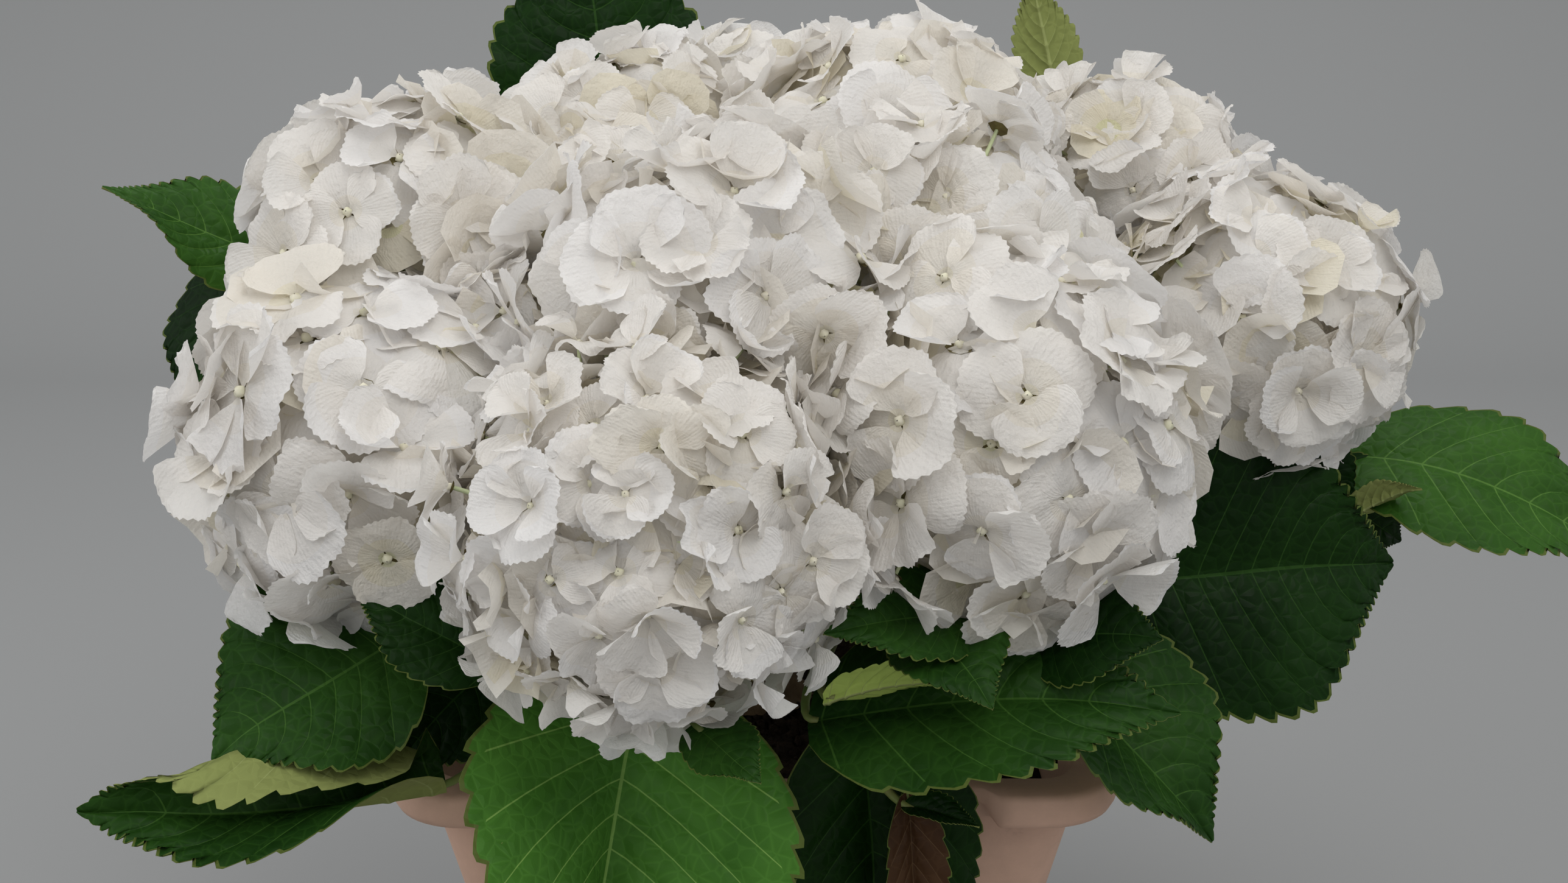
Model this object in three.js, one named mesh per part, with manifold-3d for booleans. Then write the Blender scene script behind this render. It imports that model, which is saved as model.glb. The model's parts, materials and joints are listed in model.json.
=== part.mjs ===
// A potted mophead hydrangea: eighteen round white flower heads over dark toothed leaves,
// on green stems that part from one short woody foot, in a pale rounded square planter.
// Millimetres, +Z up, the origin at the middle of the planter's underside.
import * as THREE from 'three';
import { ConvexHull } from 'three/addons/math/ConvexHull.js';
import { mergeVertices } from 'three/addons/utils/BufferGeometryUtils.js';
import Module from 'manifold-3d';

const wasm = await Module();
wasm.setup();

// Planter
const POT_HEIGHT = 240;
const POT_TOP_HALF = 136;
const POT_FOOT_HALF = 84;
const POT_CORNER = 22;
const POT_WALL = 7;
const POT_FLOOR = 9;
const FOOT_BEVEL = 3;
const RIM_DEPTH = 5;
const RIM_REACH = 2;
const RIM_BEVEL = 2.5;
const LUG_DEPTH = 15;
const LUG_REACH = 10;
const LUG_START = 0.78;
const LUG_FULL = 0.84;
const LUG_EDGE = 3;
const LUG_HOLLOW = 0.9;
const LIP_EDGE = 1;
const CORNER_STEPS = 5;

// Soil and the woody foot
const CLEAR = 0.3;
const SOIL_DROP = 24;
const SOIL_RISE = 7;
const SOIL_FLAT_SHARE = 0.4;
const FOOT_RADIUS = 27;
const FOOT_NECK = 15;
const HUB_RADIUS = 20;
const HUB_RISE = 38;
const FOOT_SIDES = 18;
const FLARE_RISE = 0.15;
const NECK_RISE = 0.4;
const HUB_START = -0.6;
const HUB_STEPS = 7;

// Stems
const STEM_RADIUS = 4.6;
const STEM_TIP_RADIUS = 3.4;
const STEM_SIDES = 6;
const STEM_STEPS = 5;
const STEM_BEND = 0.42;
const LEAF_STEM_LENGTH = 30;
const PEDUNCLE_LENGTH = 26;
const LOW_SHOOT_RADIUS = 3.6;
const LOW_SHOOT_BEND = 0.6;
const LOW_NODE_SHARE = 0.96;
const STEM_SPREAD = 0.5;
const SPREAD_ROUNDS = 60;

// Flower heads
const AXIS_Z = 250;
const VALLEY_SHARE = 0.66;
const HEAD_CAP = THREE.MathUtils.degToRad(130);
const FLORET_COVER = 0.82;
const FLORET_CUP = 0.45;
const FLORET_NOTCH = 0.74;
const FLORET_POINTS = 8;
const FLORET_SIZE_SPREAD = 0.2;
const FLORET_RISE_SPREAD = 0.16;
const VALLEY_POINTS = 84;
const VALLEY_MARGIN = 1.02;
const LEAST_ANGLE = THREE.MathUtils.degToRad(8);
const HEAD_GAP = 0.25;
const NEIGHBOUR_REACH = 1.12;
const GROOVE_FILL = 0.15;
const GROOVE_WIDTH = 0.3;
const HEAD_SEED = 101;
const HEAD_SEED_STEP = 37;
const TEST_GROWTH = 0.4;
const GOLDEN_ANGLE = Math.PI * (3 - Math.sqrt(5));

// Leaves
const LEAF_STEPS = 5;
const LEAF_WIDEST = 0.42;
const LEAF_BASE_ROUNDNESS = 0.5;
const LEAF_TIP_ROUNDNESS = 0.69;
const LEAF_THICK_SHARE = 0.014;
const LEAF_THICK_LEAST = 1.6;
const PETIOLE_RADIUS = 2.2;
const PETIOLE_TIP_RADIUS = 1.8;
const PETIOLE_SIDES = 3;
const PETIOLE_STEPS = 3;
const PETIOLE_SINK = 5;
const PETIOLE_BEND = 0.3;
const PETIOLE_BEND_MOST = 14;

const V = (x, y, z) => new THREE.Vector3(x, y, z);
const UP = V(0, 0, 1);
const SOIL_TOP = POT_HEIGHT - SOIL_DROP + SOIL_RISE;
const HUB = V(0, 0, SOIL_TOP + CLEAR + HUB_RISE);

// Each head: name, middle, radius, half width of a floret, whether leaves grow on its shoot
const HEADS = [
  { name: 'front', at: [-35, -205, 366], radius: 73, floret: 20, leafy: true },
  { name: 'left', at: [-152, -128, 375], radius: 76, floret: 29, leafy: true },
  { name: 'left_upper', at: [-139, -45, 442], radius: 74, floret: 26, leafy: true },
  { name: 'top_left', at: [-56, 45, 464], radius: 65, floret: 23, leafy: true },
  { name: 'centre', at: [-14, -120, 429], radius: 78, floret: 27, leafy: false },
  { name: 'top_centre', at: [58, 0, 467], radius: 72, floret: 25, leafy: false },
  { name: 'middle', at: [74, -75, 432], radius: 70, floret: 25, leafy: false },
  { name: 'right_front', at: [94, -158, 387], radius: 78, floret: 27, leafy: true },
  { name: 'right', at: [211, -50, 411], radius: 70, floret: 25, leafy: true },
  { name: 'top_right', at: [168, 45, 451], radius: 63, floret: 23, leafy: true },
  { name: 'inner_right', at: [36, -110, 380], radius: 58, floret: 24, leafy: false },
  { name: 'inner_left', at: [-56, -36, 427], radius: 66, floret: 23, leafy: false },
  { name: 'back_left', at: [-175, 65, 400], radius: 70, floret: 26, leafy: true },
  { name: 'back', at: [-60, 165, 405], radius: 72, floret: 26, leafy: true },
  { name: 'back_top', at: [0, 92, 460], radius: 64, floret: 24, leafy: false },
  { name: 'back_right', at: [85, 172, 400], radius: 72, floret: 26, leafy: true },
  { name: 'back_far_right', at: [200, 130, 392], radius: 64, floret: 25, leafy: true },
  { name: 'inner_front', at: [-86, -100, 398], radius: 52, floret: 23, leafy: false },
];

// Each low leafy shoot springs straight from the woody foot and ends where its leaves part
const LOW_SHOOTS = [
  { name: 'left_low', end: [-84, -70, 276] },
  { name: 'front_low', end: [32, -112, 282] },
  { name: 'right_low', end: [84, -62, 280] },
  { name: 'back_low', end: [20, 96, 280] },
];

// Each leaf: its shoot, base, tip, the way its upper side faces (and at the tip, where it twists),
// its width, its arch as a share of its length, and how far either half is folded up, in radians
// (and at the tip, where that changes)
const LEAVES = [
  { on: 'left_upper', base: [-196, 10, 420], tip: [-282, -15, 463],
    face: [-0.2, -0.9, 0.4], faceTip: [-0.2, -0.2, 1], width: 52, arch: -0.04, folds: [0.2, 0.3] },
  { on: 'left_upper', base: [-222, 25, 430], tip: [-255, 0, 352],
    face: [-0.6, -0.75, 0.1], width: 60, arch: 0.1, folds: [0.2, 0.2] },
  { on: 'left', base: [-132, -142, 308], tip: [-201, -184, 272],
    face: [-0.25, -0.85, 0.45], width: 102, arch: 0.04, folds: [0.75, 0] },
  { on: 'left', base: [-88, -112, 306], tip: [-100, -118, 276],
    face: [0.2, -0.9, 0.3], width: 26, arch: 0.05, folds: [0.2, 0.2] },
  { on: 'left', base: [-91, -190, 311], tip: [-143, -188, 342],
    face: [-0.2, -0.7, 0.7], width: 38, arch: 0.02, folds: [0.2, 0.2] },
  { on: 'left_low', base: [-118, -158, 250], tip: [-251, -190, 258],
    face: [0, 0.42, 0.9], faceTip: [0, -0.77, 0.64], width: 70, arch: -0.04, folds: [0.6, 0.9],
    foldsTip: [0, 0.9] },
  { on: 'left_low', base: [-92, -92, 290], tip: [-147, -144, 247],
    face: [-0.1, -0.8, 0.6], width: 66, arch: 0.04, folds: [0.2, 0.2] },
  { on: 'front', base: [-41, -152, 298], tip: [-72, -206, 150],
    face: [-0.05, -0.95, 0.35], width: 144, arch: 0.07, folds: [0.1, 0.3], foldsTip: [0.1, 1.95] },
  { on: 'front', base: [-20, -222, 300], tip: [4, -246, 288],
    face: [0, -0.5, 0.85], width: 34, arch: 0.03, folds: [0.2, 0.2] },
  { on: 'front_low', base: [42, -147, 280], tip: [46, -150, 165],
    face: [0.25, -0.95, 0.15], width: 74, arch: 0.06, folds: [0.25, 0.25] },
  { on: 'front_low', base: [59, -168, 253], tip: [63, -168, 183],
    face: [0.2, -0.9, 0.2], width: 28, arch: 0.08, folds: [0.6, 0.6] },
  { on: 'front_low', base: [57, -172, 248], tip: [85, -187, 247],
    face: [0, -0.5, 0.85], width: 14, arch: 0.08, folds: [0.5, 0.5] },
  { on: 'front_low', base: [66, -158, 264], tip: [70, -156, 160],
    face: [0.5, -0.85, 0], width: 42, arch: 0.03, folds: [0.3, 0.3] },
  { on: 'right_front', base: [20, -180, 286], tip: [154, -205, 304],
    face: [0, -0.55, 0.83], width: 80, arch: 0.05, folds: [0.2, 0.2] },
  { on: 'right_front', base: [84, -188, 330], tip: [26, -225, 340],
    face: [0, -0.7, 0.7], width: 38, arch: 0.04, folds: [0.2, 0.2] },
  { on: 'right_front', base: [60, -188, 326], tip: [85, -226, 312],
    face: [0.1, -0.6, 0.8], width: 46, arch: 0.1, folds: [0.2, 0.2] },
  { on: 'right_front', base: [104, -176, 319], tip: [146, -205, 328],
    face: [0.1, -0.8, 0.6], width: 44, arch: 0.05, folds: [0.2, 0.2] },
  { on: 'right_front', base: [26, -200, 303], tip: [75, -215, 317],
    face: [0, 0.8, 0.6], width: 20, arch: 0.05, folds: [0.3, 0.3] },
  { on: 'right_low', base: [112, -118, 288], tip: [182, -150, 221],
    face: [0.35, -0.8, 0.5], width: 92, arch: 0.08, folds: [0.15, 0.75] },
  { on: 'right', base: [155, -95, 312], tip: [269, -80, 316],
    face: [0.05, -0.97, 0.2], width: 122, arch: 0.06, folds: [0.2, 0.2] },
  { on: 'right', base: [255, -40, 321], tip: [285, -52, 340],
    face: [0.2, 0.6, 0.75], width: 22, arch: 0.05, folds: [0.3, 0.3] },
  { on: 'right', base: [250, -6, 330], tip: [294, -8, 300],
    face: [0.3, -0.9, 0.1], width: 50, arch: 0.05, folds: [0.2, 0.2] },
  { on: 'right', base: [226, -34, 344], tip: [262, -38, 320],
    face: [0, -0.95, 0.3], width: 46, arch: 0.05, folds: [0.2, 0.2] },
  { on: 'right', base: [262, 4, 338], tip: [380, -45, 302],
    face: [0.1, -0.55, 0.8], width: 84, arch: 0.14, folds: [0.1, 0.1] },
  { on: 'top_right', base: [146, 100, 476], tip: [131, 100, 551],
    face: [0, 0.9, 0.2], width: 32, arch: 0.05, folds: [0.3, 0.3] },
  { on: 'top_left', base: [-76, 118, 456], tip: [-84, 130, 572],
    face: [0, -0.95, 0.25], width: 106, arch: 0.05, folds: [0.2, 0.2] },
];

// The shoots at the back bear rings of alike leaves: shoot, turns from its outward bearing and pitch
// below level in degrees, length, and how far the leaf bases lie under their node
const LEAF_RINGS = [
  { on: 'back_left', turns: [-38, 0, 38, 76], length: 116, drop: 12, pitch: 22 },
  { on: 'back', turns: [-34, 0, 26], length: 120, drop: 30, pitch: 24 },
  { on: 'back_right', turns: [-26, 12, 46], length: 118, drop: 10, pitch: 20 },
  { on: 'back_far_right', turns: [-62, -26, 4], length: 104, drop: 36, pitch: 28 },
  { on: 'back_low', turns: [-70, -24, 22, 68], length: 128, drop: 6, pitch: 12 },
];
const RING_WIDTH_SHARE = 0.72;
const RING_PETIOLE = 30;
const RING_PITCH_SPREAD = 8;
const RING_LEAN = 0.4;
const RING_ARCH = 0.08;
const RING_FOLD = 0.22;
const RING_SEED = 7;

// A repeatable source of numbers from 0 to 1
function randomFrom(seed) {
  let state = seed;
  return () => {
    state = (state * 48271) % 2147483647;
    return state / 2147483647;
  };
}

// The closed solid of a geometry whose corners may still be doubled
function solidOf(geometry) {
  const bare = new THREE.BufferGeometry();
  bare.setAttribute('position', geometry.getAttribute('position').clone());
  if (geometry.index) {
    bare.setIndex(geometry.index.clone());
  }
  const merged = mergeVertices(bare, 1e-4);
  return new wasm.Manifold(new wasm.Mesh({
    numProp: 3,
    vertProperties: new Float32Array(merged.getAttribute('position').array),
    triVerts: new Uint32Array(merged.index.array),
  }));
}

function geometryOf(solid) {
  const mesh = solid.getMesh();
  const geometry = new THREE.BufferGeometry();
  geometry.setAttribute('position', new THREE.BufferAttribute(mesh.vertProperties, 3));
  geometry.setIndex(new THREE.BufferAttribute(mesh.triVerts, 1));
  return geometry;
}

// Joins the pieces of one node and keeps the largest body, so that no loose scrap stays
function fuse(solids) {
  const joined = solids.reduce((sum, solid) => sum.add(solid));
  return joined.decompose().reduce((best, body) => (body.volume() > best.volume() ? body : best));
}

// A closed skin over rings of points of one count, with a point closing each end
function loft(rings, startPoint, endPoint) {
  const count = rings[0].length;
  const points = [...rings.flat(), startPoint, endPoint];
  const start = points.length - 2;
  const end = points.length - 1;
  const faces = [];
  for (let j = 0; j < count; j += 1) {
    const next = (j + 1) % count;
    faces.push(start, next, j);
    for (let i = 0; i < rings.length - 1; i += 1) {
      const low = i * count;
      const high = low + count;
      faces.push(low + j, low + next, high + next, low + j, high + next, high + j);
    }
    const last = (rings.length - 1) * count;
    faces.push(last + j, last + next, end);
  }
  const geometry = new THREE.BufferGeometry();
  geometry.setAttribute('position', new THREE.Float32BufferAttribute(points.flatMap((p) => p.toArray()), 3));
  geometry.setIndex(faces);
  return geometry;
}

// Two directions square to the given one
function crossAxes(direction) {
  const helper = Math.abs(direction.z) < 0.9 ? UP : V(1, 0, 0);
  const u = V(0, 0, 0).crossVectors(helper, direction).normalize();
  return [u, V(0, 0, 0).crossVectors(direction, u)];
}

// A tapering limb along a curve, cut square at both ends
function limb(curve, startRadius, endRadius, sides, steps) {
  const rings = [];
  let [u] = crossAxes(curve.getTangent(0));
  for (let i = 0; i <= steps; i += 1) {
    const t = i / steps;
    const tangent = curve.getTangent(t);
    u = u.clone().addScaledVector(tangent, -u.dot(tangent)).normalize();
    const v = V(0, 0, 0).crossVectors(tangent, u);
    const radius = THREE.MathUtils.lerp(startRadius, endRadius, t);
    const middle = curve.getPoint(t);
    const ring = [];
    for (let k = 0; k < sides; k += 1) {
      const angle = (2 * Math.PI * k) / sides;
      ring.push(middle.clone()
        .addScaledVector(u, radius * Math.cos(angle))
        .addScaledVector(v, radius * Math.sin(angle)));
    }
    rings.push(ring);
  }
  return loft(rings, curve.getPoint(0), curve.getPoint(1));
}

// Points round a rounded square; lug says how far each stands out with a grip's full reach
function squareOutline() {
  const stations = [];
  const alongSide = [-LUG_FULL, -LUG_START, 0, LUG_START, LUG_FULL];
  for (let side = 0; side < 4; side += 1) {
    const grip = side % 2 === 0;
    const fractions = grip ? [0] : alongSide;
    for (const fraction of fractions) {
      const lug = grip || Math.abs(fraction) > LUG_START ? 1 : 0;
      stations.push({ side, fraction, arc: 0, lug });
    }
    for (let step = 0; step <= CORNER_STEPS; step += 1) {
      stations.push({ side, fraction: 1, arc: (Math.PI / 2) * (step / CORNER_STEPS), lug: 1 });
    }
  }
  return stations;
}

const OUTLINE = squareOutline();

// The ring of the rounded square of that half width; the lugs reach further out and lower
function squareRing(half, corner, z, lugReach = 0, lugDrop = 0) {
  return OUTLINE.map(({ side, fraction, arc, lug }) => {
    const reach = half + lug * lugReach;
    const flat = half - corner;
    const round = reach - flat;
    const x = fraction === 1 ? flat + round * Math.cos(arc) : reach;
    const y = fraction === 1 ? flat + round * Math.sin(arc) : flat * fraction;
    const turn = (Math.PI / 2) * side;
    return V(
      x * Math.cos(turn) - y * Math.sin(turn),
      x * Math.sin(turn) + y * Math.cos(turn),
      z - lug * lugDrop,
    );
  });
}

// Half the width of the wall's outer face at that height
function wallHalf(z) {
  return THREE.MathUtils.lerp(POT_FOOT_HALF, POT_TOP_HALF, z / POT_HEIGHT);
}

function potGeometry() {
  const drop = LUG_DEPTH - RIM_DEPTH;
  const underRim = POT_HEIGHT - RIM_DEPTH;
  const rimHalf = POT_TOP_HALF + RIM_REACH;
  const rings = [
    squareRing(POT_FOOT_HALF - FOOT_BEVEL, POT_CORNER, 0),
    squareRing(POT_FOOT_HALF, POT_CORNER, FOOT_BEVEL),
    squareRing(wallHalf(underRim - drop), POT_CORNER, underRim - drop),
    squareRing(wallHalf(underRim), POT_CORNER, underRim, 0, drop * LUG_HOLLOW),
    squareRing(rimHalf - LIP_EDGE, POT_CORNER, underRim + LIP_EDGE / 2, LUG_REACH - LUG_EDGE, drop),
    squareRing(rimHalf, POT_CORNER, underRim + 1.5 * LIP_EDGE, LUG_REACH, drop - LUG_EDGE),
    squareRing(rimHalf, POT_CORNER, POT_HEIGHT - RIM_BEVEL, LUG_REACH),
    squareRing(rimHalf - RIM_BEVEL, POT_CORNER, POT_HEIGHT, LUG_REACH),
    squareRing(POT_TOP_HALF - POT_WALL, POT_CORNER - POT_WALL, POT_HEIGHT),
    squareRing(wallHalf(POT_FLOOR) - POT_WALL, POT_CORNER - POT_WALL, POT_FLOOR),
  ];
  return loft(rings, V(0, 0, 0), V(0, 0, POT_FLOOR));
}

function soilGeometry() {
  const edge = POT_WALL + CLEAR;
  const low = POT_FLOOR + CLEAR;
  const high = POT_HEIGHT - SOIL_DROP;
  const corner = POT_CORNER - edge;
  const flatHalf = wallHalf(high) * SOIL_FLAT_SHARE;
  const rings = [
    squareRing(wallHalf(low) - edge, corner, low),
    squareRing(wallHalf(high) - edge, corner, high),
    squareRing(flatHalf, corner * SOIL_FLAT_SHARE, SOIL_TOP),
  ];
  return loft(rings, V(0, 0, low), V(0, 0, SOIL_TOP));
}

// The woody foot flares at the soil and ends in a knob that all the stems part from
function footGeometry() {
  const base = SOIL_TOP + CLEAR;
  const profile = [
    new THREE.Vector2(0, base),
    new THREE.Vector2(FOOT_RADIUS, base),
    new THREE.Vector2((FOOT_RADIUS + FOOT_NECK) / 2, base + HUB_RISE * FLARE_RISE),
    new THREE.Vector2(FOOT_NECK, base + HUB_RISE * NECK_RISE),
  ];
  for (let i = 0; i < HUB_STEPS; i += 1) {
    const angle = THREE.MathUtils.lerp(HUB_START, Math.PI / 2, i / HUB_STEPS);
    profile.push(new THREE.Vector2(HUB_RADIUS * Math.cos(angle), HUB.z + HUB_RADIUS * Math.sin(angle)));
  }
  profile.push(new THREE.Vector2(0, HUB.z + HUB_RADIUS));
  const geometry = new THREE.LatheGeometry(profile, FOOT_SIDES);
  geometry.rotateX(Math.PI / 2);
  return geometry;
}

// Turns directions that lie too close apart, so that the stems part clear of each other
function spreadDirections(directions) {
  const spread = directions.map((d) => d.clone().normalize());
  for (let round = 0; round < SPREAD_ROUNDS; round += 1) {
    for (let i = 0; i < spread.length; i += 1) {
      for (let j = 0; j < i; j += 1) {
        const angle = spread[i].angleTo(spread[j]);
        if (angle < STEM_SPREAD) {
          const push = spread[i].clone().sub(spread[j]).normalize().multiplyScalar((STEM_SPREAD - angle) / 2);
          spread[i].add(push).normalize();
          spread[j].sub(push).normalize();
        }
      }
    }
  }
  return spread;
}

// The shape of one leaf blade: a lens in section, widest below its middle, pointed at the tip
function bladeGeometry(leaf, growth = 0) {
  const base = V(...leaf.base);
  const along = V(...leaf.tip).sub(base);
  const length = along.length();
  along.normalize();
  const squareTo = (way) => way.addScaledVector(along, -way.dot(along)).normalize();
  const faceBase = squareTo(V(...leaf.face));
  const faceTip = squareTo(V(...(leaf.faceTip ?? leaf.face)));
  const foldsTip = leaf.foldsTip ?? leaf.folds;
  const thick = Math.max(length * LEAF_THICK_SHARE, LEAF_THICK_LEAST) / 2 + growth;
  const middleAt = (t) => base.clone()
    .addScaledVector(along, length * t)
    .addScaledVector(faceBase, leaf.arch * length * 4 * t * (1 - t));
  const rings = [];
  for (let i = 1; i < LEAF_STEPS; i += 1) {
    const t = i / LEAF_STEPS;
    const face = faceBase.clone().lerp(faceTip, t).normalize();
    const side = V(0, 0, 0).crossVectors(along, face);
    const rise = (t / LEAF_WIDEST) ** LEAF_BASE_ROUNDNESS;
    const fall = ((1 - t) / (1 - LEAF_WIDEST)) ** LEAF_TIP_ROUNDNESS;
    const half = (leaf.width / 2) * rise * fall + growth;
    const middle = middleAt(t);
    const folds = leaf.folds.map((fold, k) => THREE.MathUtils.lerp(fold, foldsTip[k], t));
    const edge = (sign, fold) => middle.clone()
      .addScaledVector(side, sign * half * Math.cos(fold))
      .addScaledVector(face, half * Math.sin(fold));
    rings.push([
      edge(-1, folds[0]),
      middle.clone().addScaledVector(face, thick),
      edge(1, folds[1]),
      middle.clone().addScaledVector(face, -thick),
    ]);
  }
  return loft(rings, middleAt(0).addScaledVector(along, -growth), middleAt(1).addScaledVector(along, growth));
}

// The leaf stalk runs from its node on the shoot in a low curve into the blade's base
function petioleGeometry(leaf, node, growth = 0) {
  const base = V(...leaf.base);
  const along = V(...leaf.tip).sub(base).normalize();
  const reach = base.distanceTo(node);
  const end = base.clone().addScaledVector(along, PETIOLE_SINK);
  const bend = base.clone().addScaledVector(along, -Math.min(reach * PETIOLE_BEND, PETIOLE_BEND_MOST));
  const curve = new THREE.QuadraticBezierCurve3(node, bend, end);
  return limb(curve, PETIOLE_RADIUS + growth, PETIOLE_TIP_RADIUS + growth, PETIOLE_SIDES, PETIOLE_STEPS);
}

function leafSolid(leaf, node, growth = 0) {
  return solidOf(bladeGeometry(leaf, growth)).add(solidOf(petioleGeometry(leaf, node, growth)));
}

// The leaves of a ring: each goes out and down from its node, in a bearing turned from the shoot's
function ringLeaves(ring, node, bearing, random) {
  return ring.turns.map((turn) => {
    const angle = bearing + THREE.MathUtils.degToRad(turn);
    const pitch = THREE.MathUtils.degToRad(ring.pitch + (random() - 0.5) * RING_PITCH_SPREAD);
    const level = V(Math.cos(angle), Math.sin(angle), 0);
    const base = node.clone().addScaledVector(level, RING_PETIOLE).addScaledVector(UP, -ring.drop);
    const tip = base.clone()
      .addScaledVector(level, ring.length * Math.cos(pitch))
      .addScaledVector(UP, -ring.length * Math.sin(pitch));
    return {
      base: base.toArray(),
      tip: tip.toArray(),
      face: [level.x * RING_LEAN, level.y * RING_LEAN, 1],
      width: ring.length * RING_WIDTH_SHARE,
      arch: RING_ARCH,
      folds: [RING_FOLD, RING_FOLD],
    };
  });
}

// Directions on a spiral from a head's top down to the given angle
function spiral(axis, count, widest) {
  const [u, v] = crossAxes(axis);
  const cap = 1 - Math.cos(widest);
  return Array.from({ length: count }, (_, k) => {
    const cosine = 1 - cap * ((k + 0.5) / count);
    const sine = Math.sqrt(1 - cosine * cosine);
    const angle = k * GOLDEN_ANGLE;
    return axis.clone().multiplyScalar(cosine)
      .addScaledVector(u, sine * Math.cos(angle))
      .addScaledVector(v, sine * Math.sin(angle));
  });
}

// How far from the head's middle its space ends towards another head
function borderTo(head, other) {
  const distance = head.middle.distanceTo(other.middle);
  return (distance ** 2 + head.radius ** 2 - other.radius ** 2) / (2 * distance) - HEAD_GAP;
}

// A head's reach in a direction: it swells towards its neighbours, so that the crown runs on
function reachAlong(head, direction) {
  const swell = head.neighbours.reduce((most, other) => {
    const towards = other.middle.clone().sub(head.middle).normalize();
    const off = (direction.dot(towards) - borderTo(head, other) / head.radius) / GROOVE_WIDTH;
    return Math.max(most, Math.exp(-off * off));
  }, 0);
  return head.radius * (1 + GROOVE_FILL * swell);
}

// The florets of a head that face out of the crown
function floretsOf(head) {
  const random = randomFrom(head.seed);
  const share = 2 * (1 - Math.cos(HEAD_CAP));
  const count = Math.round(FLORET_COVER * share * (head.radius / head.floret) ** 2);
  const florets = spiral(head.axis, count, HEAD_CAP).map((direction) => ({
    direction,
    angle: Math.asin((head.floret / head.radius) * (1 + (random() - 0.5) * FLORET_SIZE_SPREAD)),
    rise: 1 - random() * FLORET_RISE_SPREAD,
    twist: random() * Math.PI,
  }));
  return florets.filter((floret) => head.neighbours.every((other) => {
    const towards = other.middle.clone().sub(head.middle).normalize();
    return floret.direction.dot(towards) * head.radius < borderTo(head, other);
  }));
}

// A head is one skin: every floret is a lobed rim round a sunken middle, over the core between
function headGeometry(head) {
  const florets = floretsOf(head);
  const borders = head.neighbours.map((other) => ({
    towards: other.middle.clone().sub(head.middle).normalize(),
    depth: borderTo(head, other),
  }));
  const covered = (direction, own, share) => florets.some((floret) => (
    floret !== own && direction.angleTo(floret.direction) < floret.angle * share));
  const points = [];
  const addPoint = (direction, reach) => {
    if (points.every((point) => point.direction.angleTo(direction) > LEAST_ANGLE)) {
      const within = borders.reduce((least, { towards, depth }) => {
        const slope = direction.dot(towards);
        return slope > 0 ? Math.min(least, depth / slope) : least;
      }, reach);
      points.push({ direction, reach: within });
    }
  };
  for (const floret of florets) {
    const share = floret.rise - Math.sin(floret.angle) * FLORET_CUP;
    addPoint(floret.direction, reachAlong(head, floret.direction) * share);
  }
  for (const floret of florets) {
    const [u, v] = crossAxes(floret.direction);
    for (let k = 0; k < FLORET_POINTS; k += 1) {
      const turn = floret.twist + (2 * Math.PI * k) / FLORET_POINTS;
      const angle = floret.angle * (k % 2 ? FLORET_NOTCH : 1);
      const direction = floret.direction.clone().multiplyScalar(Math.cos(angle))
        .addScaledVector(u, Math.sin(angle) * Math.cos(turn))
        .addScaledVector(v, Math.sin(angle) * Math.sin(turn));
      if (!covered(direction, floret, 1)) {
        addPoint(direction, reachAlong(head, direction) * floret.rise);
      }
    }
  }
  for (const direction of spiral(head.axis, VALLEY_POINTS, Math.PI)) {
    if (!covered(direction, null, VALLEY_MARGIN)) {
      addPoint(direction, head.valley);
    }
  }
  const order = new Map(points.map((point, index) => [point.direction, index]));
  const faces = [];
  for (const face of new ConvexHull().setFromPoints(points.map((point) => point.direction)).faces) {
    for (let k = 0; k < 3; k += 1) {
      faces.push(order.get(face.getEdge(k).head().point));
    }
  }
  const corners = points.flatMap(({ direction, reach }) => (
    head.middle.clone().addScaledVector(direction, reach).toArray()));
  const geometry = new THREE.BufferGeometry();
  geometry.setAttribute('position', new THREE.Float32BufferAttribute(corners, 3));
  geometry.setIndex(faces);
  return geometry;
}

const MATERIALS = {
  planter: { color: 0xc7a596, roughness: 0.85, metalness: 0 },
  soil: { color: 0x2b2119, roughness: 1, metalness: 0 },
  bark: { color: 0x6b5a40, roughness: 0.9, metalness: 0 },
  stem: { color: 0x6f8a3c, roughness: 0.7, metalness: 0 },
  leaf: { color: 0x2c5a1e, roughness: 0.5, metalness: 0 },
  petal: { color: 0xf3efe8, roughness: 0.75, metalness: 0 },
};

const hydrangea = new THREE.Group();
hydrangea.name = 'potted_hydrangea';
const placed = [];

function addNode(name, solid, material) {
  const mesh = new THREE.Mesh(geometryOf(solid), new THREE.MeshStandardMaterial(MATERIALS[material]));
  mesh.name = name;
  hydrangea.add(mesh);
  placed.push({ name, solid });
}

addNode('planter', solidOf(potGeometry()), 'planter');
addNode('soil', solidOf(soilGeometry()), 'soil');
addNode('woody_foot', solidOf(footGeometry()), 'bark');

// The lengths along each shoot: stem, then a leafy stretch, then the flower stalk and the head
for (const [index, head] of HEADS.entries()) {
  head.seed = HEAD_SEED + index * HEAD_SEED_STEP;
  head.middle = V(...head.at);
  head.valley = head.radius * VALLEY_SHARE;
  head.axis = head.middle.clone().sub(V(0, 0, AXIS_Z)).normalize();
  head.stalkFoot = head.middle.clone().addScaledVector(head.axis, -head.valley - PEDUNCLE_LENGTH);
  head.leafyTop = head.stalkFoot.clone().addScaledVector(head.axis, -CLEAR);
  head.leafyFoot = head.leafyTop.clone().addScaledVector(head.axis, -LEAF_STEM_LENGTH);
  const stemTop = head.leafy ? head.leafyFoot : head.stalkFoot;
  head.stemTop = stemTop.clone().addScaledVector(head.axis, -CLEAR);
}
for (const shoot of LOW_SHOOTS) {
  shoot.stemTop = V(...shoot.end);
}

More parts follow.
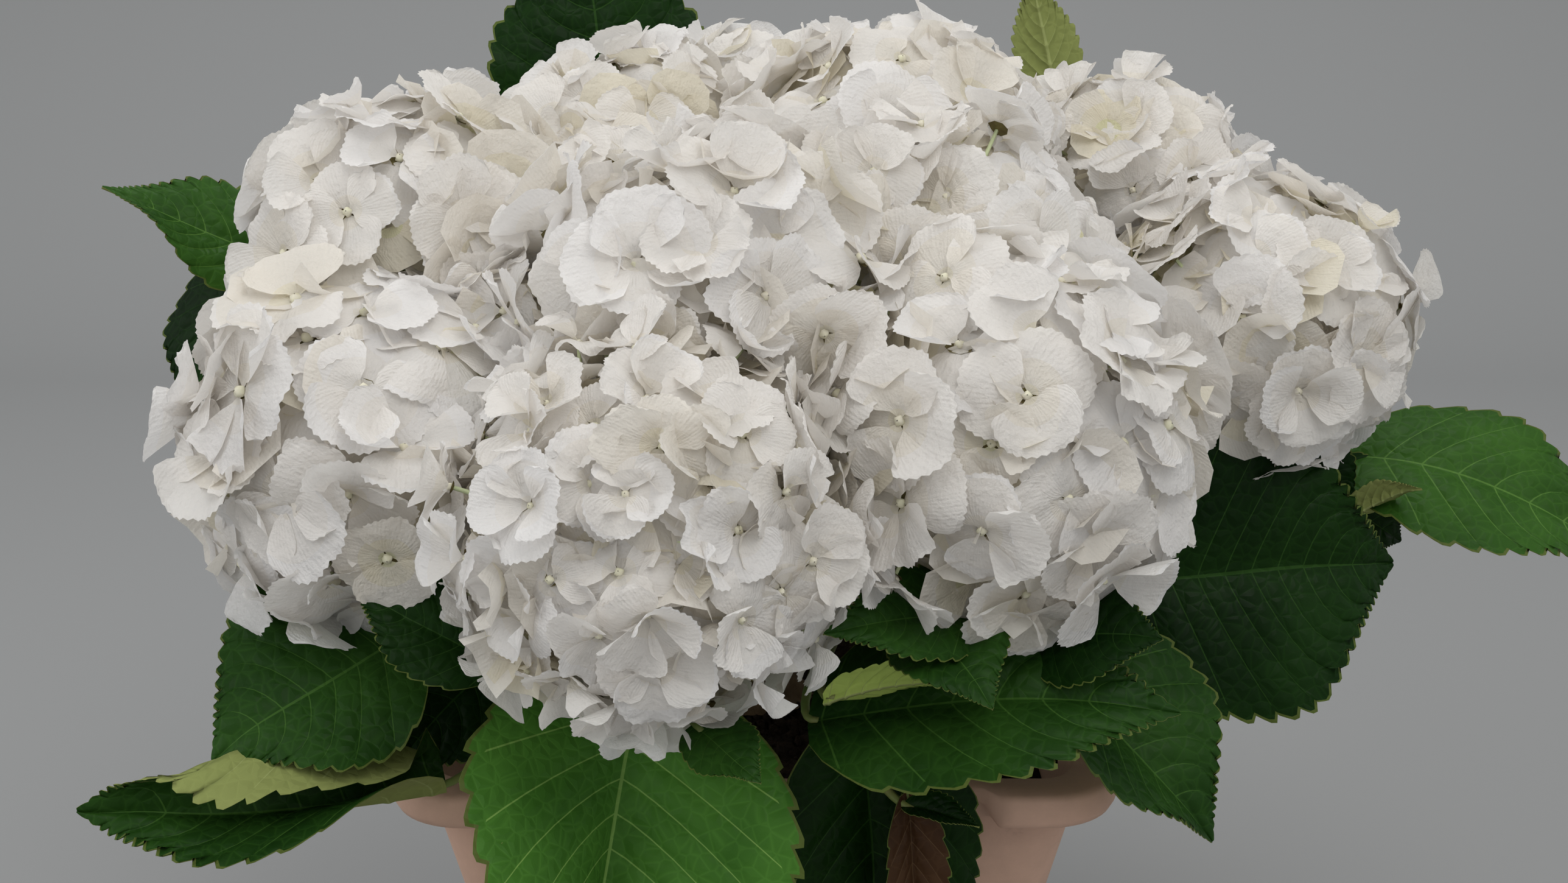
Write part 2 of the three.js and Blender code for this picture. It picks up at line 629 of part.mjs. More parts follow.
const shoots = [...HEADS, ...LOW_SHOOTS];
const starts = spreadDirections(shoots.map((shoot) => shoot.stemTop.clone().sub(HUB)));
for (const [index, shoot] of shoots.entries()) {
  const direction = starts[index];
  const start = HUB.clone().addScaledVector(direction, HUB_RADIUS + CLEAR);
  const reach = start.distanceTo(shoot.stemTop);
  const leave = start.clone().addScaledVector(direction, reach * STEM_BEND);
  const arrive = shoot.axis
    ? shoot.stemTop.clone().addScaledVector(shoot.axis, -reach * STEM_BEND)
    : start.clone().lerp(shoot.stemTop, LOW_SHOOT_BEND);
  shoot.curve = new THREE.CubicBezierCurve3(start, leave, arrive, shoot.stemTop);
}

// What every head is cut clear of: stems, shoots and stalks, each a little thicker, then the leaves
const keptClear = [];
const stalks = new Map();

for (const head of HEADS) {
  const stemOf = (growth) => solidOf(
    limb(head.curve, STEM_RADIUS + growth, STEM_TIP_RADIUS + growth, STEM_SIDES, STEM_STEPS));
  addNode(`stem_${head.name}`, stemOf(0), 'stem');
  keptClear.push(stemOf(TEST_GROWTH));
}

// The leafy stretches and the flower stalks are set down before any leaf, so that leaves keep clear
for (const head of HEADS) {
  const stalk = new THREE.LineCurve3(head.stalkFoot, head.middle);
  const stalkSolid = solidOf(limb(stalk, STEM_TIP_RADIUS, STEM_TIP_RADIUS, STEM_SIDES, 1));
  const thickness = STEM_TIP_RADIUS + TEST_GROWTH;
  stalks.set(head, solidOf(limb(stalk, thickness, thickness, STEM_SIDES, 1)));
  head.neighbours = HEADS.filter((other) => other !== head
    && head.middle.distanceTo(other.middle) < (head.radius + other.radius) * NEIGHBOUR_REACH);
  const core = Math.min(head.valley, ...head.neighbours.map((other) => borderTo(head, other)));
  const ball = new THREE.IcosahedronGeometry(core, 1);
  ball.translate(head.middle.x, head.middle.y, head.middle.z);
  head.inner = stalkSolid.add(solidOf(ball));
}

const leafyShoots = shoots.filter((shoot) => shoot.leafy || shoot.end);
for (const shoot of leafyShoots) {
  shoot.line = shoot.leafy
    ? new THREE.LineCurve3(shoot.leafyFoot, shoot.leafyTop)
    : shoot.curve;
  const steps = shoot.leafy ? 1 : STEM_STEPS;
  const thin = shoot.leafy ? STEM_TIP_RADIUS : LOW_SHOOT_RADIUS;
  const thick = thin + TEST_GROWTH;
  shoot.node = shoot.line.getPoint(shoot.leafy ? 0.5 : LOW_NODE_SHARE);
  shoot.stretch = solidOf(limb(shoot.line, thin, thin, STEM_SIDES, steps));
  keptClear.push(solidOf(limb(shoot.line, thick, thick, STEM_SIDES, steps)));
}

const ringRandom = randomFrom(RING_SEED);
for (const shoot of leafyShoots) {
  const limbs = [
    ...HEADS.map((head) => head.inner),
    ...leafyShoots.filter((other) => other !== shoot).map((other) => other.stretch),
    ...placed.map((other) => other.solid),
  ];
  const bearing = Math.atan2(shoot.node.y, shoot.node.x);
  const leaves = [
    ...LEAVES.filter((leaf) => leaf.on === shoot.name),
    ...LEAF_RINGS.filter((ring) => ring.on === shoot.name)
      .flatMap((ring) => ringLeaves(ring, shoot.node, bearing, ringRandom)),
  ];
  const pieces = [shoot.stretch];
  for (const leaf of leaves) {
    const fat = leafSolid(leaf, shoot.node, TEST_GROWTH);
    if (limbs.every((solid) => fat.intersect(solid).isEmpty())) {
      pieces.push(leafSolid(leaf, shoot.node));
      keptClear.push(fat);
    }
  }
  const foliage = fuse(pieces);
  addNode(`foliage_${shoot.name}`, foliage, 'leaf');
  keptClear.push(foliage);
}

// Each head is cut clear of the stems, stalks and leaves that reach in between its florets
for (const head of HEADS) {
  const skin = solidOf(headGeometry(head));
  const otherStalks = HEADS.filter((other) => other !== head).map((other) => stalks.get(other));
  const near = [...keptClear, ...otherStalks].filter((fat) => !fat.intersect(skin).isEmpty());
  const cut = near.reduce((solid, fat) => solid.subtract(fat), head.inner.add(skin));
  addNode(`flower_head_${head.name}`, fuse([cut]), 'petal');
}

export default hydrangea;
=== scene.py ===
import json
import math

import bpy
import numpy as np
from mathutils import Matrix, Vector

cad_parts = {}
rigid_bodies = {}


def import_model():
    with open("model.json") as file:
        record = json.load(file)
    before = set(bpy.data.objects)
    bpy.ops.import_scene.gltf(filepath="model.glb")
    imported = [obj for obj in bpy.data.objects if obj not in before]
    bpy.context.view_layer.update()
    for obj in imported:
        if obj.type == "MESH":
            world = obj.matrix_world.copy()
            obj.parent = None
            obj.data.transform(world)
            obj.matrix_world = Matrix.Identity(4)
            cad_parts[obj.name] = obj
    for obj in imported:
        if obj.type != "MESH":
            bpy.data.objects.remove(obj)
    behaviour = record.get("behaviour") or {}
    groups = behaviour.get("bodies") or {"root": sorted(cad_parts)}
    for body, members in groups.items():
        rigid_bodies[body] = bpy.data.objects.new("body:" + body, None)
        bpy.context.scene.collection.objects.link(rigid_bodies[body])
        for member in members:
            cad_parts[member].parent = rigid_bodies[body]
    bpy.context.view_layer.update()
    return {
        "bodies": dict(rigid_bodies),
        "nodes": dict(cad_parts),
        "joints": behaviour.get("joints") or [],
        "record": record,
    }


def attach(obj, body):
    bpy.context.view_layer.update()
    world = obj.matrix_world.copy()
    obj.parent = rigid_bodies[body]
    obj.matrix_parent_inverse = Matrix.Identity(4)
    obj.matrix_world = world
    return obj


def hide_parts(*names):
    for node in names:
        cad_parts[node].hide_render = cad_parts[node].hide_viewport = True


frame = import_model()

MM = 0.001
TURN = 2 * math.pi

# Sizes of the solids that the looks grow on, in millimetres
POT_HEIGHT = 240
POT_TOP_HALF = 136
POT_FOOT_HALF = 84
POT_CORNER = 22
POT_WALL = 7
POT_FLOOR = 9
RIM_DEPTH = 5
RIM_REACH = 2
LUG_DEPTH = 15
LUG_REACH = 10
LUG_START = 0.78
LUG_FULL = 0.84
CLEAR = 0.3
SOIL_DROP = 24
SOIL_RISE = 7
FOOT_RADIUS = 27
FOOT_NECK = 15
HUB_RADIUS = 20
HUB_RISE = 38
STEM_RADIUS = 4.6
STEM_TIP_RADIUS = 3.4
STEM_BEND = 0.42
LEAF_STEM_LENGTH = 30
PEDUNCLE_LENGTH = 26
LOW_SHOOT_RADIUS = 3.6
LOW_SHOOT_BEND = 0.6
LOW_NODE_SHARE = 0.96
STEM_SPREAD = 0.5
SPREAD_ROUNDS = 60
AXIS_Z = 250
VALLEY_SHARE = 0.66
HEAD_CAP = math.radians(130)
HEAD_GAP = 0.25
NEIGHBOUR_REACH = 1.12
GROOVE_FILL = 0.15
GROOVE_WIDTH = 0.3
LEAF_WIDEST = 0.42
LEAF_BASE_ROUNDNESS = 0.5
LEAF_TIP_ROUNDNESS = 0.69
PETIOLE_RADIUS = 2.2
PETIOLE_TIP_RADIUS = 1.8
PETIOLE_SINK = 5
PETIOLE_BEND = 0.3
PETIOLE_BEND_MOST = 14
RING_WIDTH_SHARE = 0.72
RING_PETIOLE = 30
RING_PITCH_SPREAD = 8
RING_LEAN = 0.4
RING_ARCH = 0.08
RING_FOLD = 0.22
RING_SEED = 7
GOLDEN_ANGLE = math.pi * (3 - math.sqrt(5))
SOIL_TOP = POT_HEIGHT - SOIL_DROP + SOIL_RISE
HUB = np.array([0.0, 0.0, SOIL_TOP + CLEAR + HUB_RISE])

# Each head: middle, radius, half width of its florets, whether leaves grow on its shoot
HEADS = {
    "front": ((-35, -205, 366), 73, 19, True),
    "left": ((-152, -128, 375), 76, 29, True),
    "left_upper": ((-139, -45, 442), 74, 25, True),
    "top_left": ((-56, 45, 464), 65, 23, True),
    "centre": ((-14, -120, 429), 78, 25, False),
    "top_centre": ((58, 0, 467), 72, 24, False),
    "middle": ((74, -75, 432), 70, 24, False),
    "right_front": ((94, -158, 387), 78, 26, True),
    "right": ((211, -50, 411), 70, 24, True),
    "top_right": ((168, 45, 451), 63, 23, True),
    "inner_right": ((36, -110, 380), 58, 23, False),
    "inner_left": ((-56, -36, 427), 66, 23, False),
    "back_left": ((-175, 65, 400), 70, 25, True),
    "back": ((-60, 165, 405), 72, 25, True),
    "back_top": ((0, 92, 460), 64, 24, False),
    "back_right": ((85, 172, 400), 72, 25, True),
    "back_far_right": ((200, 130, 392), 64, 24, True),
    "inner_front": ((-86, -100, 398), 52, 22, False),
}

# How much more than the rest the petals of a head are crumpled
CRUMPLE = {"front": 1.7, "centre": 1.25, "right_front": 1.15}

LOW_SHOOTS = {
    "left_low": (-84, -70, 276),
    "front_low": (32, -112, 282),
    "right_low": (84, -62, 280),
    "back_low": (20, 96, 280),
}

PALE_EDGE = 0.98


def leaf(base, tip, face, width, arch=0.05, folds=(0.2, 0.2), face_tip=None, folds_tip=None,
         tone="mid", **more):
    """One leaf of the table: its base, tip, upper side, width, arch, folds and tone.

    More may change wide, a factor on each half's width, tooth, the teeth's share of the length,
    veins, their number on each side, curl, how far the second half rolls over, edge, where that
    half's pale margin starts, and under, the slot of the lower side.
    """
    return {
        "base": base, "tip": tip, "face": face, "face_tip": face_tip or face,
        "width": width, "arch": arch, "folds": folds, "folds_tip": folds_tip or folds,
        "tone": tone, "wide": (1, 1), "tooth": 0.026, "veins": 8, "curl": 0, "edge": PALE_EDGE,
        "under": "under", **more,
    }


LEAVES = {
    "left_upper": [
        leaf((-196, 10, 420), (-282, -15, 463), (-0.2, -0.9, 0.4), 52, -0.04, (0.2, 0.3),
             face_tip=(-0.2, -0.2, 1), tone="light"),
        leaf((-222, 25, 430), (-255, 0, 352), (-0.6, -0.75, 0.1), 60, 0.1, tone="dark"),
    ],
    "left": [
        leaf((-132, -142, 308), (-201, -184, 272), (-0.25, -0.85, 0.45), 102, 0.04, (0.15, 0),
             wide=(0.76, 1)),
        leaf((-88, -112, 306), (-100, -118, 276), (0.2, -0.9, 0.3), 26, tone="dark"),
        leaf((-91, -190, 311), (-143, -188, 342), (-0.2, -0.7, 0.7), 38, 0.02, tone="dark"),
    ],
    "left_low": [
        leaf((-118, -158, 250), (-251, -190, 258), (0, 0.42, 0.9), 70, -0.04, (0.4, 0.9),
             face_tip=(0, -0.77, 0.64), folds_tip=(0, 0.9), curl=2.5, wide=(1, 1.6)),
        # This dark-tone leaf covers the planter's inner wall; its dark tone paints the deep shade there
        leaf((-92, -92, 290), (-147, -144, 247), (-0.1, -0.8, 0.6), 66, 0.04, tone="dark"),
    ],
    "front": [
        leaf((-41, -152, 298), (-72, -206, 150), (-0.05, -0.95, 0.35), 144, 0.07, (0.1, 0.3),
             folds_tip=(0.1, 2.3), tone="bright", edge=0.96, wide=(1, 0.95), tooth=0.03, veins=12),
        leaf((-20, -222, 303), (4, -246, 292), (0, -0.5, 0.85), 34, 0.03, wide=(0.8, 0.8)),
    ],
    # These leaves hang in front of the planter; their dark tone paints the deep shade there
    "front_low": [
        leaf((42, -147, 280), (46, -150, 165), (0.25, -0.95, 0.15), 74, 0.06, (0.25, 0.25), tone="dark"),
        leaf((59, -168, 253), (63, -168, 183), (0.2, -0.9, 0.2), 28, 0.08, (0.6, 0.6), tone="brown"),
        leaf((57, -172, 248), (85, -187, 247), (0, -0.5, 0.85), 14, 0.08, (0.5, 0.5), tone="dark"),
        leaf((66, -158, 264), (70, -156, 160), (0.5, -0.85, 0), 42, 0.03, (0.3, 0.3), tone="dark"),
    ],
    "right_front": [
        leaf((20, -180, 286), (154, -205, 304), (0, -0.55, 0.83), 80),
        leaf((84, -188, 330), (26, -225, 340), (0, -0.7, 0.7), 38, 0.04),
        leaf((60, -188, 326), (85, -226, 312), (0.1, -0.6, 0.8), 46, 0.1),
        leaf((104, -176, 319), (146, -205, 328), (0.1, -0.8, 0.6), 44, tone="dark"),
        leaf((26, -200, 303), (75, -215, 317), (0, 0.8, 0.6), 20, folds=(0.3, 0.3), under="under_lit"),
    ],
    "right_low": [
        leaf((112, -118, 288), (182, -150, 221), (0.35, -0.8, 0.5), 92, 0.08, (0.15, 0.75)),
    ],
    "right": [
        leaf((155, -95, 312), (269, -80, 316), (0.05, -0.97, 0.2), 122, 0.06, tone="dark", veins=10,
             tooth=0.034),
        leaf((255, -40, 321), (285, -52, 340), (0.2, 0.6, 0.75), 22, folds=(0.3, 0.3), tone="light"),
        leaf((250, -6, 330), (294, -8, 300), (0.3, -0.9, 0.1), 50, tone="dark"),
        leaf((226, -34, 344), (262, -38, 320), (0, -0.95, 0.3), 46, tone="dark"),
        leaf((262, 4, 338), (380, -45, 302), (0.1, -0.55, 0.8), 84, 0.14, (0.1, 0.1), tone="light"),
    ],
    "top_right": [
        leaf((146, 100, 476), (131, 100, 551), (0, 0.9, 0.2), 32, folds=(0.3, 0.3), tone="light"),
    ],
    "top_left": [
        leaf((-76, 118, 456), (-84, 130, 572), (0, -0.95, 0.25), 106, tone="dark"),
    ],
}

# Rings of alike leaves: turns from the shoot's bearing, length, drop of the bases, pitch
LEAF_RINGS = {
    "back_left": ((-38, 0, 38, 76), 116, 12, 22),
    "back": ((-34, 0, 26), 120, 30, 24),
    "back_right": ((-26, 12, 46), 118, 10, 20),
    "back_far_right": ((-62, -26, 4), 104, 36, 28),
    "back_low": ((-70, -24, 22, 68), 128, 6, 12),
}
# Tones dealt to ring leaves in turn; each tone is a lit or shaded copy, so this deals out painted light
# and shade
RING_TONES = ("mid", "dark", "light", "mid")

# Linear colours, in pairs where a surface is mottled; on leaves the pair spans painted patches of light
# and shade as well as the paler vein net
PETALS = {
    "petal_bright": (0.93, 0.912, 0.895),
    "petal_white": (0.92, 0.892, 0.855),
    "petal_warm": (0.90, 0.86, 0.79),
    "petal_cream": (0.88, 0.83, 0.70),
    "petal_lime": (0.83, 0.81, 0.57),
    "petal_green": (0.66, 0.70, 0.36),
}
# The leaf tones are one green in lit and shaded copies: bright and light are painted light for lit
# leaves, mid is the middle, dark is painted shade for leaves under the heads and deep in the plant;
# brown is a dry leaf's own colour
LEAF_TONES = {
    "bright": ((0.040, 0.130, 0.016), (0.085, 0.235, 0.034)),
    "light": ((0.019, 0.064, 0.008), (0.043, 0.122, 0.016)),
    "mid": ((0.009, 0.034, 0.005), (0.026, 0.080, 0.011)),
    "dark": ((0.003, 0.014, 0.002), (0.010, 0.038, 0.0045)),
    "brown": ((0.040, 0.017, 0.008), (0.075, 0.038, 0.018)),
}
# The vein colours come in the same lit and shaded copies, painted light and shade on the veins
LEAF_VEINS = {
    "bright": (0.17, 0.31, 0.07),
    "light": (0.070, 0.155, 0.028),
    "mid": (0.040, 0.100, 0.017),
    "dark": (0.019, 0.054, 0.009),
    "brown": (0.10, 0.06, 0.03),
}
VEIN_GAIN = 1.3
# Other leaf surfaces: colour, how much lighter its second colour is, roughness
LEAF_SURFACES = {
    "under": ((0.24, 0.275, 0.088), 1.15, 0.7),
    "under_vein": ((0.31, 0.35, 0.13), 1.1, 0.7),
    # under_lit is a lighter copy of the lower side that paints the light on a lit underside
    "under_lit": ((0.36, 0.46, 0.11), 1.2, 0.6),
    "edge": ((0.085, 0.115, 0.026), 1.2, 0.4),
}
BUD_COLOURS = ((0.70, 0.66, 0.54), (0.68, 0.66, 0.48))
# The dark cups under the florets paint the shade seen through the slots between the claws
SHADE_CUP_COLOURS = ((0.11, 0.085, 0.035), (0.16, 0.14, 0.05))
STEM_COLOURS = ((0.13, 0.20, 0.045), (0.19, 0.2, 0.06))
STALK_COLOUR = (0.52, 0.58, 0.34)
BARK_COLOUR = (0.17, 0.115, 0.065)
SOIL_COLOUR = (0.022, 0.015, 0.010)
PLANTER_COLOUR = (0.61, 0.395, 0.295)
SMUDGE_COLOUR = (0.34, 0.235, 0.185)
STUDIO_COLOUR = (0.303, 0.305, 0.303)
SKY_COLOUR = (0.96, 0.98, 1.0)

STEEP = 0.9


def unit(vector):
    """The vector, or each row of them, at length one."""
    vector = np.asarray(vector, float)
    return vector / np.linalg.norm(vector, axis=-1, keepdims=True)


def cross_axes(directions):
    """Two directions square to each of the given ones."""
    helper = np.where(np.abs(directions[..., 2:]) < STEEP, [0.0, 0.0, 1.0], [1.0, 0.0, 0.0])
    u = unit(np.cross(helper, directions))
    return u, np.cross(directions, u)


def smooth_step(x):
    x = np.clip(x, 0, 1)
    return x * x * (3 - 2 * x)


def random_from(seed):
    """The source's own repeatable numbers from 0 to 1."""
    state = seed
    while True:
        state = state * 48271 % 2147483647
        yield state / 2147483647


def scaled(colour, share):
    return tuple(channel * share for channel in colour)


class Pile:
    """Gathers grids of points and four-cornered faces that become one mesh."""

    def __init__(self):
        self.points = []
        self.faces = []
        self.slots = []
        self.uvs = []
        self.count = 0

    def add(self, points, faces, slots, uvs=None):
        points = np.asarray(points, float).reshape(-1, 3)
        faces = np.asarray(faces).reshape(-1, 4)
        self.points.append(points)
        self.faces.append(faces + self.count)
        self.slots.append(np.broadcast_to(slots, len(faces)).astype(np.int32))
        self.uvs.append(np.zeros((len(points), 2)) if uvs is None else uvs.reshape(-1, 2))
        self.count += len(points)

    def add_grids(self, points, slots, uvs=None, closed=False, turned=False):
        """Adds alike grids, with their points by copy, row and column; turned faces point back."""
        copies, rows, columns = points.shape[:3]
        grid = grid_faces(rows, columns, closed)
        if turned:
            grid = grid[:, ::-1]
        starts = np.arange(copies) * rows * columns
        self.add(points, grid[None] + starts[:, None, None], slots, uvs)


def grid_faces(rows, columns, closed=False):
    """Faces between the rows of a grid; a closed grid joins its last column to its first."""
    across = columns if closed else columns - 1
    i, j = np.meshgrid(np.arange(rows - 1), np.arange(across), indexing="ij")
    k = (j + 1) % columns
    low = i * columns
    high = low + columns
    return np.stack([low + j, low + k, high + k, high + j], -1).reshape(-1, 4)


def make_object(name, pile, materials, node):
    """A mesh in millimetres becomes a piece in metres that replaces that node."""
    points = np.concatenate(pile.points) * MM
    faces = np.concatenate(pile.faces)
    mesh = bpy.data.meshes.new(name)
    mesh.vertices.add(len(points))
    mesh.vertices.foreach_set("co", points.astype(np.float32).ravel())
    mesh.loops.add(faces.size)
    mesh.loops.foreach_set("vertex_index", faces.astype(np.int32).ravel())
    mesh.polygons.add(len(faces))
    mesh.polygons.foreach_set("loop_start", np.arange(0, faces.size, 4, dtype=np.int32))
    mesh.polygons.foreach_set("material_index", np.concatenate(pile.slots))
    mesh.polygons.foreach_set("use_smooth", np.ones(len(faces), bool))
    layer = mesh.uv_layers.new(name="UVMap")
    layer.data.foreach_set("uv", np.concatenate(pile.uvs)[faces.ravel()].astype(np.float32).ravel())
    for material in materials:
        mesh.materials.append(material)
    mesh.update(calc_edges=True)
    piece = bpy.data.objects.new(name, mesh)
    bpy.context.scene.collection.objects.link(piece)
    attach(piece, "root")
    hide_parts(node)


# Materials; scales count per metre, bump distances are metres

def new_material(name, colour, roughness, specular):
    """A principled material with its constants set on the shader itself."""
    material = bpy.data.materials.new(name)
    material.use_nodes = True
    shader = material.node_tree.nodes["Principled BSDF"]
    shader.inputs["Base Color"].default_value = (*colour, 1)
    shader.inputs["Roughness"].default_value = roughness
    shader.inputs["Specular IOR Level"].default_value = specular
    return material, material.node_tree, shader


def add_node(tree, kind, inputs, **settings):
    """A node with its settings; each input gets a constant or a link from another node."""
    node = tree.nodes.new(kind)
    for name, setting in settings.items():
        setattr(node, name, setting)
    for name, value in inputs.items():
        if isinstance(value, bpy.types.NodeSocket):
            tree.links.new(value, node.inputs[name])
        else:
            node.inputs[name].default_value = value
    return node


def texture(tree, kind, coordinates, inputs, **settings):
    place = tree.nodes.new("ShaderNodeTexCoord").outputs[coordinates]
    return add_node(tree, kind, {"Vector": place, **inputs}, **settings)


def noise(tree, scale, detail, roughness=0.5):
    inputs = {"Scale": scale, "Detail": detail, "Roughness": roughness}
    return texture(tree, "ShaderNodeTexNoise", "Object", inputs).outputs["Fac"]


def add_scaled(tree, value, share, more):
    """A share of one value plus another."""
    inputs = {0: value, 1: share, 2: more}
    return add_node(tree, "ShaderNodeMath", inputs, operation="MULTIPLY_ADD").outputs[0]


def blend_colours(tree, shader, factor, first, second, low=0.35, high=0.65):
    """The base colour runs from first to second as the factor does from low to high."""
    ramp = add_node(tree, "ShaderNodeValToRGB", {"Fac": factor})
    start, end = ramp.color_ramp.elements
    start.position = low
    start.color = (*first, 1)
    end.position = high
    end.color = (*second, 1)
    tree.links.new(ramp.outputs["Color"], shader.inputs["Base Color"])
    return ramp


def add_bump(tree, shader, height, strength, distance):
    inputs = {"Height": height, "Strength": strength, "Distance": distance}
    bump = add_node(tree, "ShaderNodeBump", inputs)
    tree.links.new(bump.outputs["Normal"], shader.inputs["Normal"])


def let_through(tree, shader, colour, share):
    """Part of the light passes through a thin blade or petal."""
    through = add_node(tree, "ShaderNodeBsdfTranslucent", {"Color": (*colour, 1)})
    inputs = {0: share, 1: shader.outputs[0], 2: through.outputs[0]}
    mix = add_node(tree, "ShaderNodeMixShader", inputs)
    tree.links.new(mix.outputs[0], tree.nodes["Material Output"].inputs["Surface"])


def petal_material(name, colour):
    """Thin white tissue with fine ribs from claw to rim and a soft crinkle."""
    material, tree, shader = new_material(name, colour, roughness=0.6, specular=0.2)
    ribs = texture(tree, "ShaderNodeTexWave", "UV", {"Scale": 1.1, "Distortion": 5.0, "Detail": 3.0},
                   wave_type="BANDS", bands_direction="X")
    grain = noise(tree, scale=190, detail=6, roughness=0.6)
    crinkle = add_scaled(tree, ribs.outputs["Fac"], share=0.045, more=grain)
    add_bump(tree, shader, crinkle, strength=0.72, distance=0.0028)
    let_through(tree, shader, colour, share=0.42)
    return material


def leaf_material(name, colour, second, roughness=0.4):
    """Green with a paler net of small veins that the surface puffs up between, under broad painted
    patches of light and shade.
    """
    material, tree, shader = new_material(name, colour, roughness, specular=0.08)
    cells = texture(tree, "ShaderNodeTexVoronoi", "Object", {"Scale": 170}, feature="DISTANCE_TO_EDGE")
    from_vein = cells.outputs["Distance"]
    net_width = 0.1
    net = add_node(tree, "ShaderNodeMath", {0: from_vein, 1: net_width}, operation="MINIMUM")
    # The broad noise paints patches of light and shade across the blade; the paler net of small veins is
    # the leaf's own colour
    veins_and_painted_light = add_scaled(tree, net.outputs[0], share=-1.7, more=noise(tree, scale=26, detail=4))
    blend_colours(tree, shader, veins_and_painted_light, colour, second, low=0.12, high=0.62)
    add_bump(tree, shader, from_vein, strength=0.45, distance=0.0022)
    red, green, blue = second
    let_through(tree, shader, (red * 1.8, green * 1.7, blue * 0.8), share=0.12)
    return material


def plain_material(name, colour, second, roughness, scale, strength, distance, specular=0.4):
    """Two colours in blotches, over a finer grain."""
    material, tree, shader = new_material(name, colour, roughness, specular)
    blend_colours(tree, shader, noise(tree, scale, detail=6), colour, second)
    add_bump(tree, shader, noise(tree, scale * 3, detail=6), strength, distance)
    return material


def planter_material():
    """Pale pink clay, worn darker in patches and smudged."""
    material, tree, shader = new_material("planter_pink", PLANTER_COLOUR, roughness=0.72, specular=0.3)
    patches = noise(tree, scale=16, detail=9, roughness=0.66)
    clean = scaled(PLANTER_COLOUR, 1.06)
    ramp = blend_colours(tree, shader, patches, SMUDGE_COLOUR, clean, low=0.27, high=0.6)
    worn = ramp.color_ramp.elements.new(0.37)
    worn.color = (*scaled(PLANTER_COLOUR, 0.88), 1)
    add_bump(tree, shader, noise(tree, scale=420, detail=6), strength=0.25, distance=0.0006)
    return material


PETAL_LADDER = [petal_material(name, colour) for name, colour in PETALS.items()]
# Plain surfaces: colours, roughness, blotches per metre, bump strength and distance, specular
BUD = plain_material("bud", *BUD_COLOURS, 0.7, 300, 0.2, 0.0005, 0.2)
# The dark cup's colour is painted shade in the hollow under the claws
SHADE_CUP = plain_material("painted_shade_cup", *SHADE_CUP_COLOURS, 0.8, 300, 0.2, 0.0005, 0.2)
LEAF_MATERIALS = {}
for name, colours in LEAF_TONES.items():
    LEAF_MATERIALS[name] = leaf_material(f"leaf_{name}", *colours)
for name, colour in LEAF_VEINS.items():
    LEAF_MATERIALS[f"vein_{name}"] = leaf_material(f"vein_{name}", colour, scaled(colour, VEIN_GAIN))
for name, (colour, gain, roughness) in LEAF_SURFACES.items():
    LEAF_MATERIALS[name] = leaf_material(f"leaf_{name}", colour, scaled(colour, gain), roughness)
STEM = plain_material("stem_green", *STEM_COLOURS, 0.55, 90, 0.4, 0.001)
STALK = plain_material("stalk_pale", STALK_COLOUR, scaled(STALK_COLOUR, 1.15), 0.6, 120, 0.3, 0.0005)
BARK = plain_material("bark_brown", BARK_COLOUR, scaled(BARK_COLOUR, 0.5), 0.9, 60, 0.8, 0.003, 0.2)
SOIL = plain_material("soil_dark", SOIL_COLOUR, scaled(SOIL_COLOUR, 2.2), 0.97, 160, 0.9, 0.004, 0.15)
LEAF_MATERIALS["petiole"] = STEM


# Heads, shoots and curves, by the source's rules

def bezier(points, t):
    """Points of a curve with two, three or four control points."""
    t = np.asarray(t, float)[:, None]
    points = [np.asarray(p, float) for p in points]
    if len(points) == 2:
        a, b = points
        return a * (1 - t) + b * t
    if len(points) == 3:
        a, b, c = points
        return a * (1 - t) ** 2 + 2 * b * t * (1 - t) + c * t ** 2
    a, b, c, d = points
    return a * (1 - t) ** 3 + 3 * b * t * (1 - t) ** 2 + 3 * c * t * t * (1 - t) + d * t ** 3


def spread_directions(directions):
    """Turns directions that lie too close apart, so that the stems part clear of each other."""
    spread = [unit(d) for d in directions]
    for _ in range(SPREAD_ROUNDS):
        for i in range(len(spread)):
            for j in range(i):
                angle = math.acos(float(np.clip(spread[i] @ spread[j], -1, 1)))
                if angle < STEM_SPREAD:
                    push = unit(spread[i] - spread[j]) * (STEM_SPREAD - angle) / 2
                    spread[i] = unit(spread[i] + push)
                    spread[j] = unit(spread[j] - push)
    return spread


def head_shoot(name, at, radius, floret, leafy):
    """A flowering shoot: its head, stalk, leafy stretch and the top of its bough."""
    middle = np.array(at, float)
    axis = unit(middle - (0, 0, AXIS_Z))
    stalk_foot = middle - axis * (radius * VALLEY_SHARE + PEDUNCLE_LENGTH)
    leafy_top = stalk_foot - axis * CLEAR
    leafy_foot = leafy_top - axis * LEAF_STEM_LENGTH
    stem_top = (leafy_foot if leafy else stalk_foot) - axis * CLEAR
    return {
        "name": name, "head": True, "middle": middle, "radius": radius, "floret": floret,
        "leafy": leafy, "axis": axis, "stalk_foot": stalk_foot, "stem_top": stem_top,
        "line": [leafy_foot, leafy_top], "node": (leafy_foot + leafy_top) / 2, "neighbours": [],
    }


def find_neighbours(heads):
    """Notes on each head the ways to its neighbours and where their borders lie."""
    for shoot in heads:
        for other in heads:
            if other is shoot:
                continue
            gap = other["middle"] - shoot["middle"]
            distance = np.linalg.norm(gap)
            if distance < (shoot["radius"] + other["radius"]) * NEIGHBOUR_REACH:
                border = (distance ** 2 + shoot["radius"] ** 2 - other["radius"] ** 2) / (2 * distance)
                shoot["neighbours"].append((gap / distance, border - HEAD_GAP))


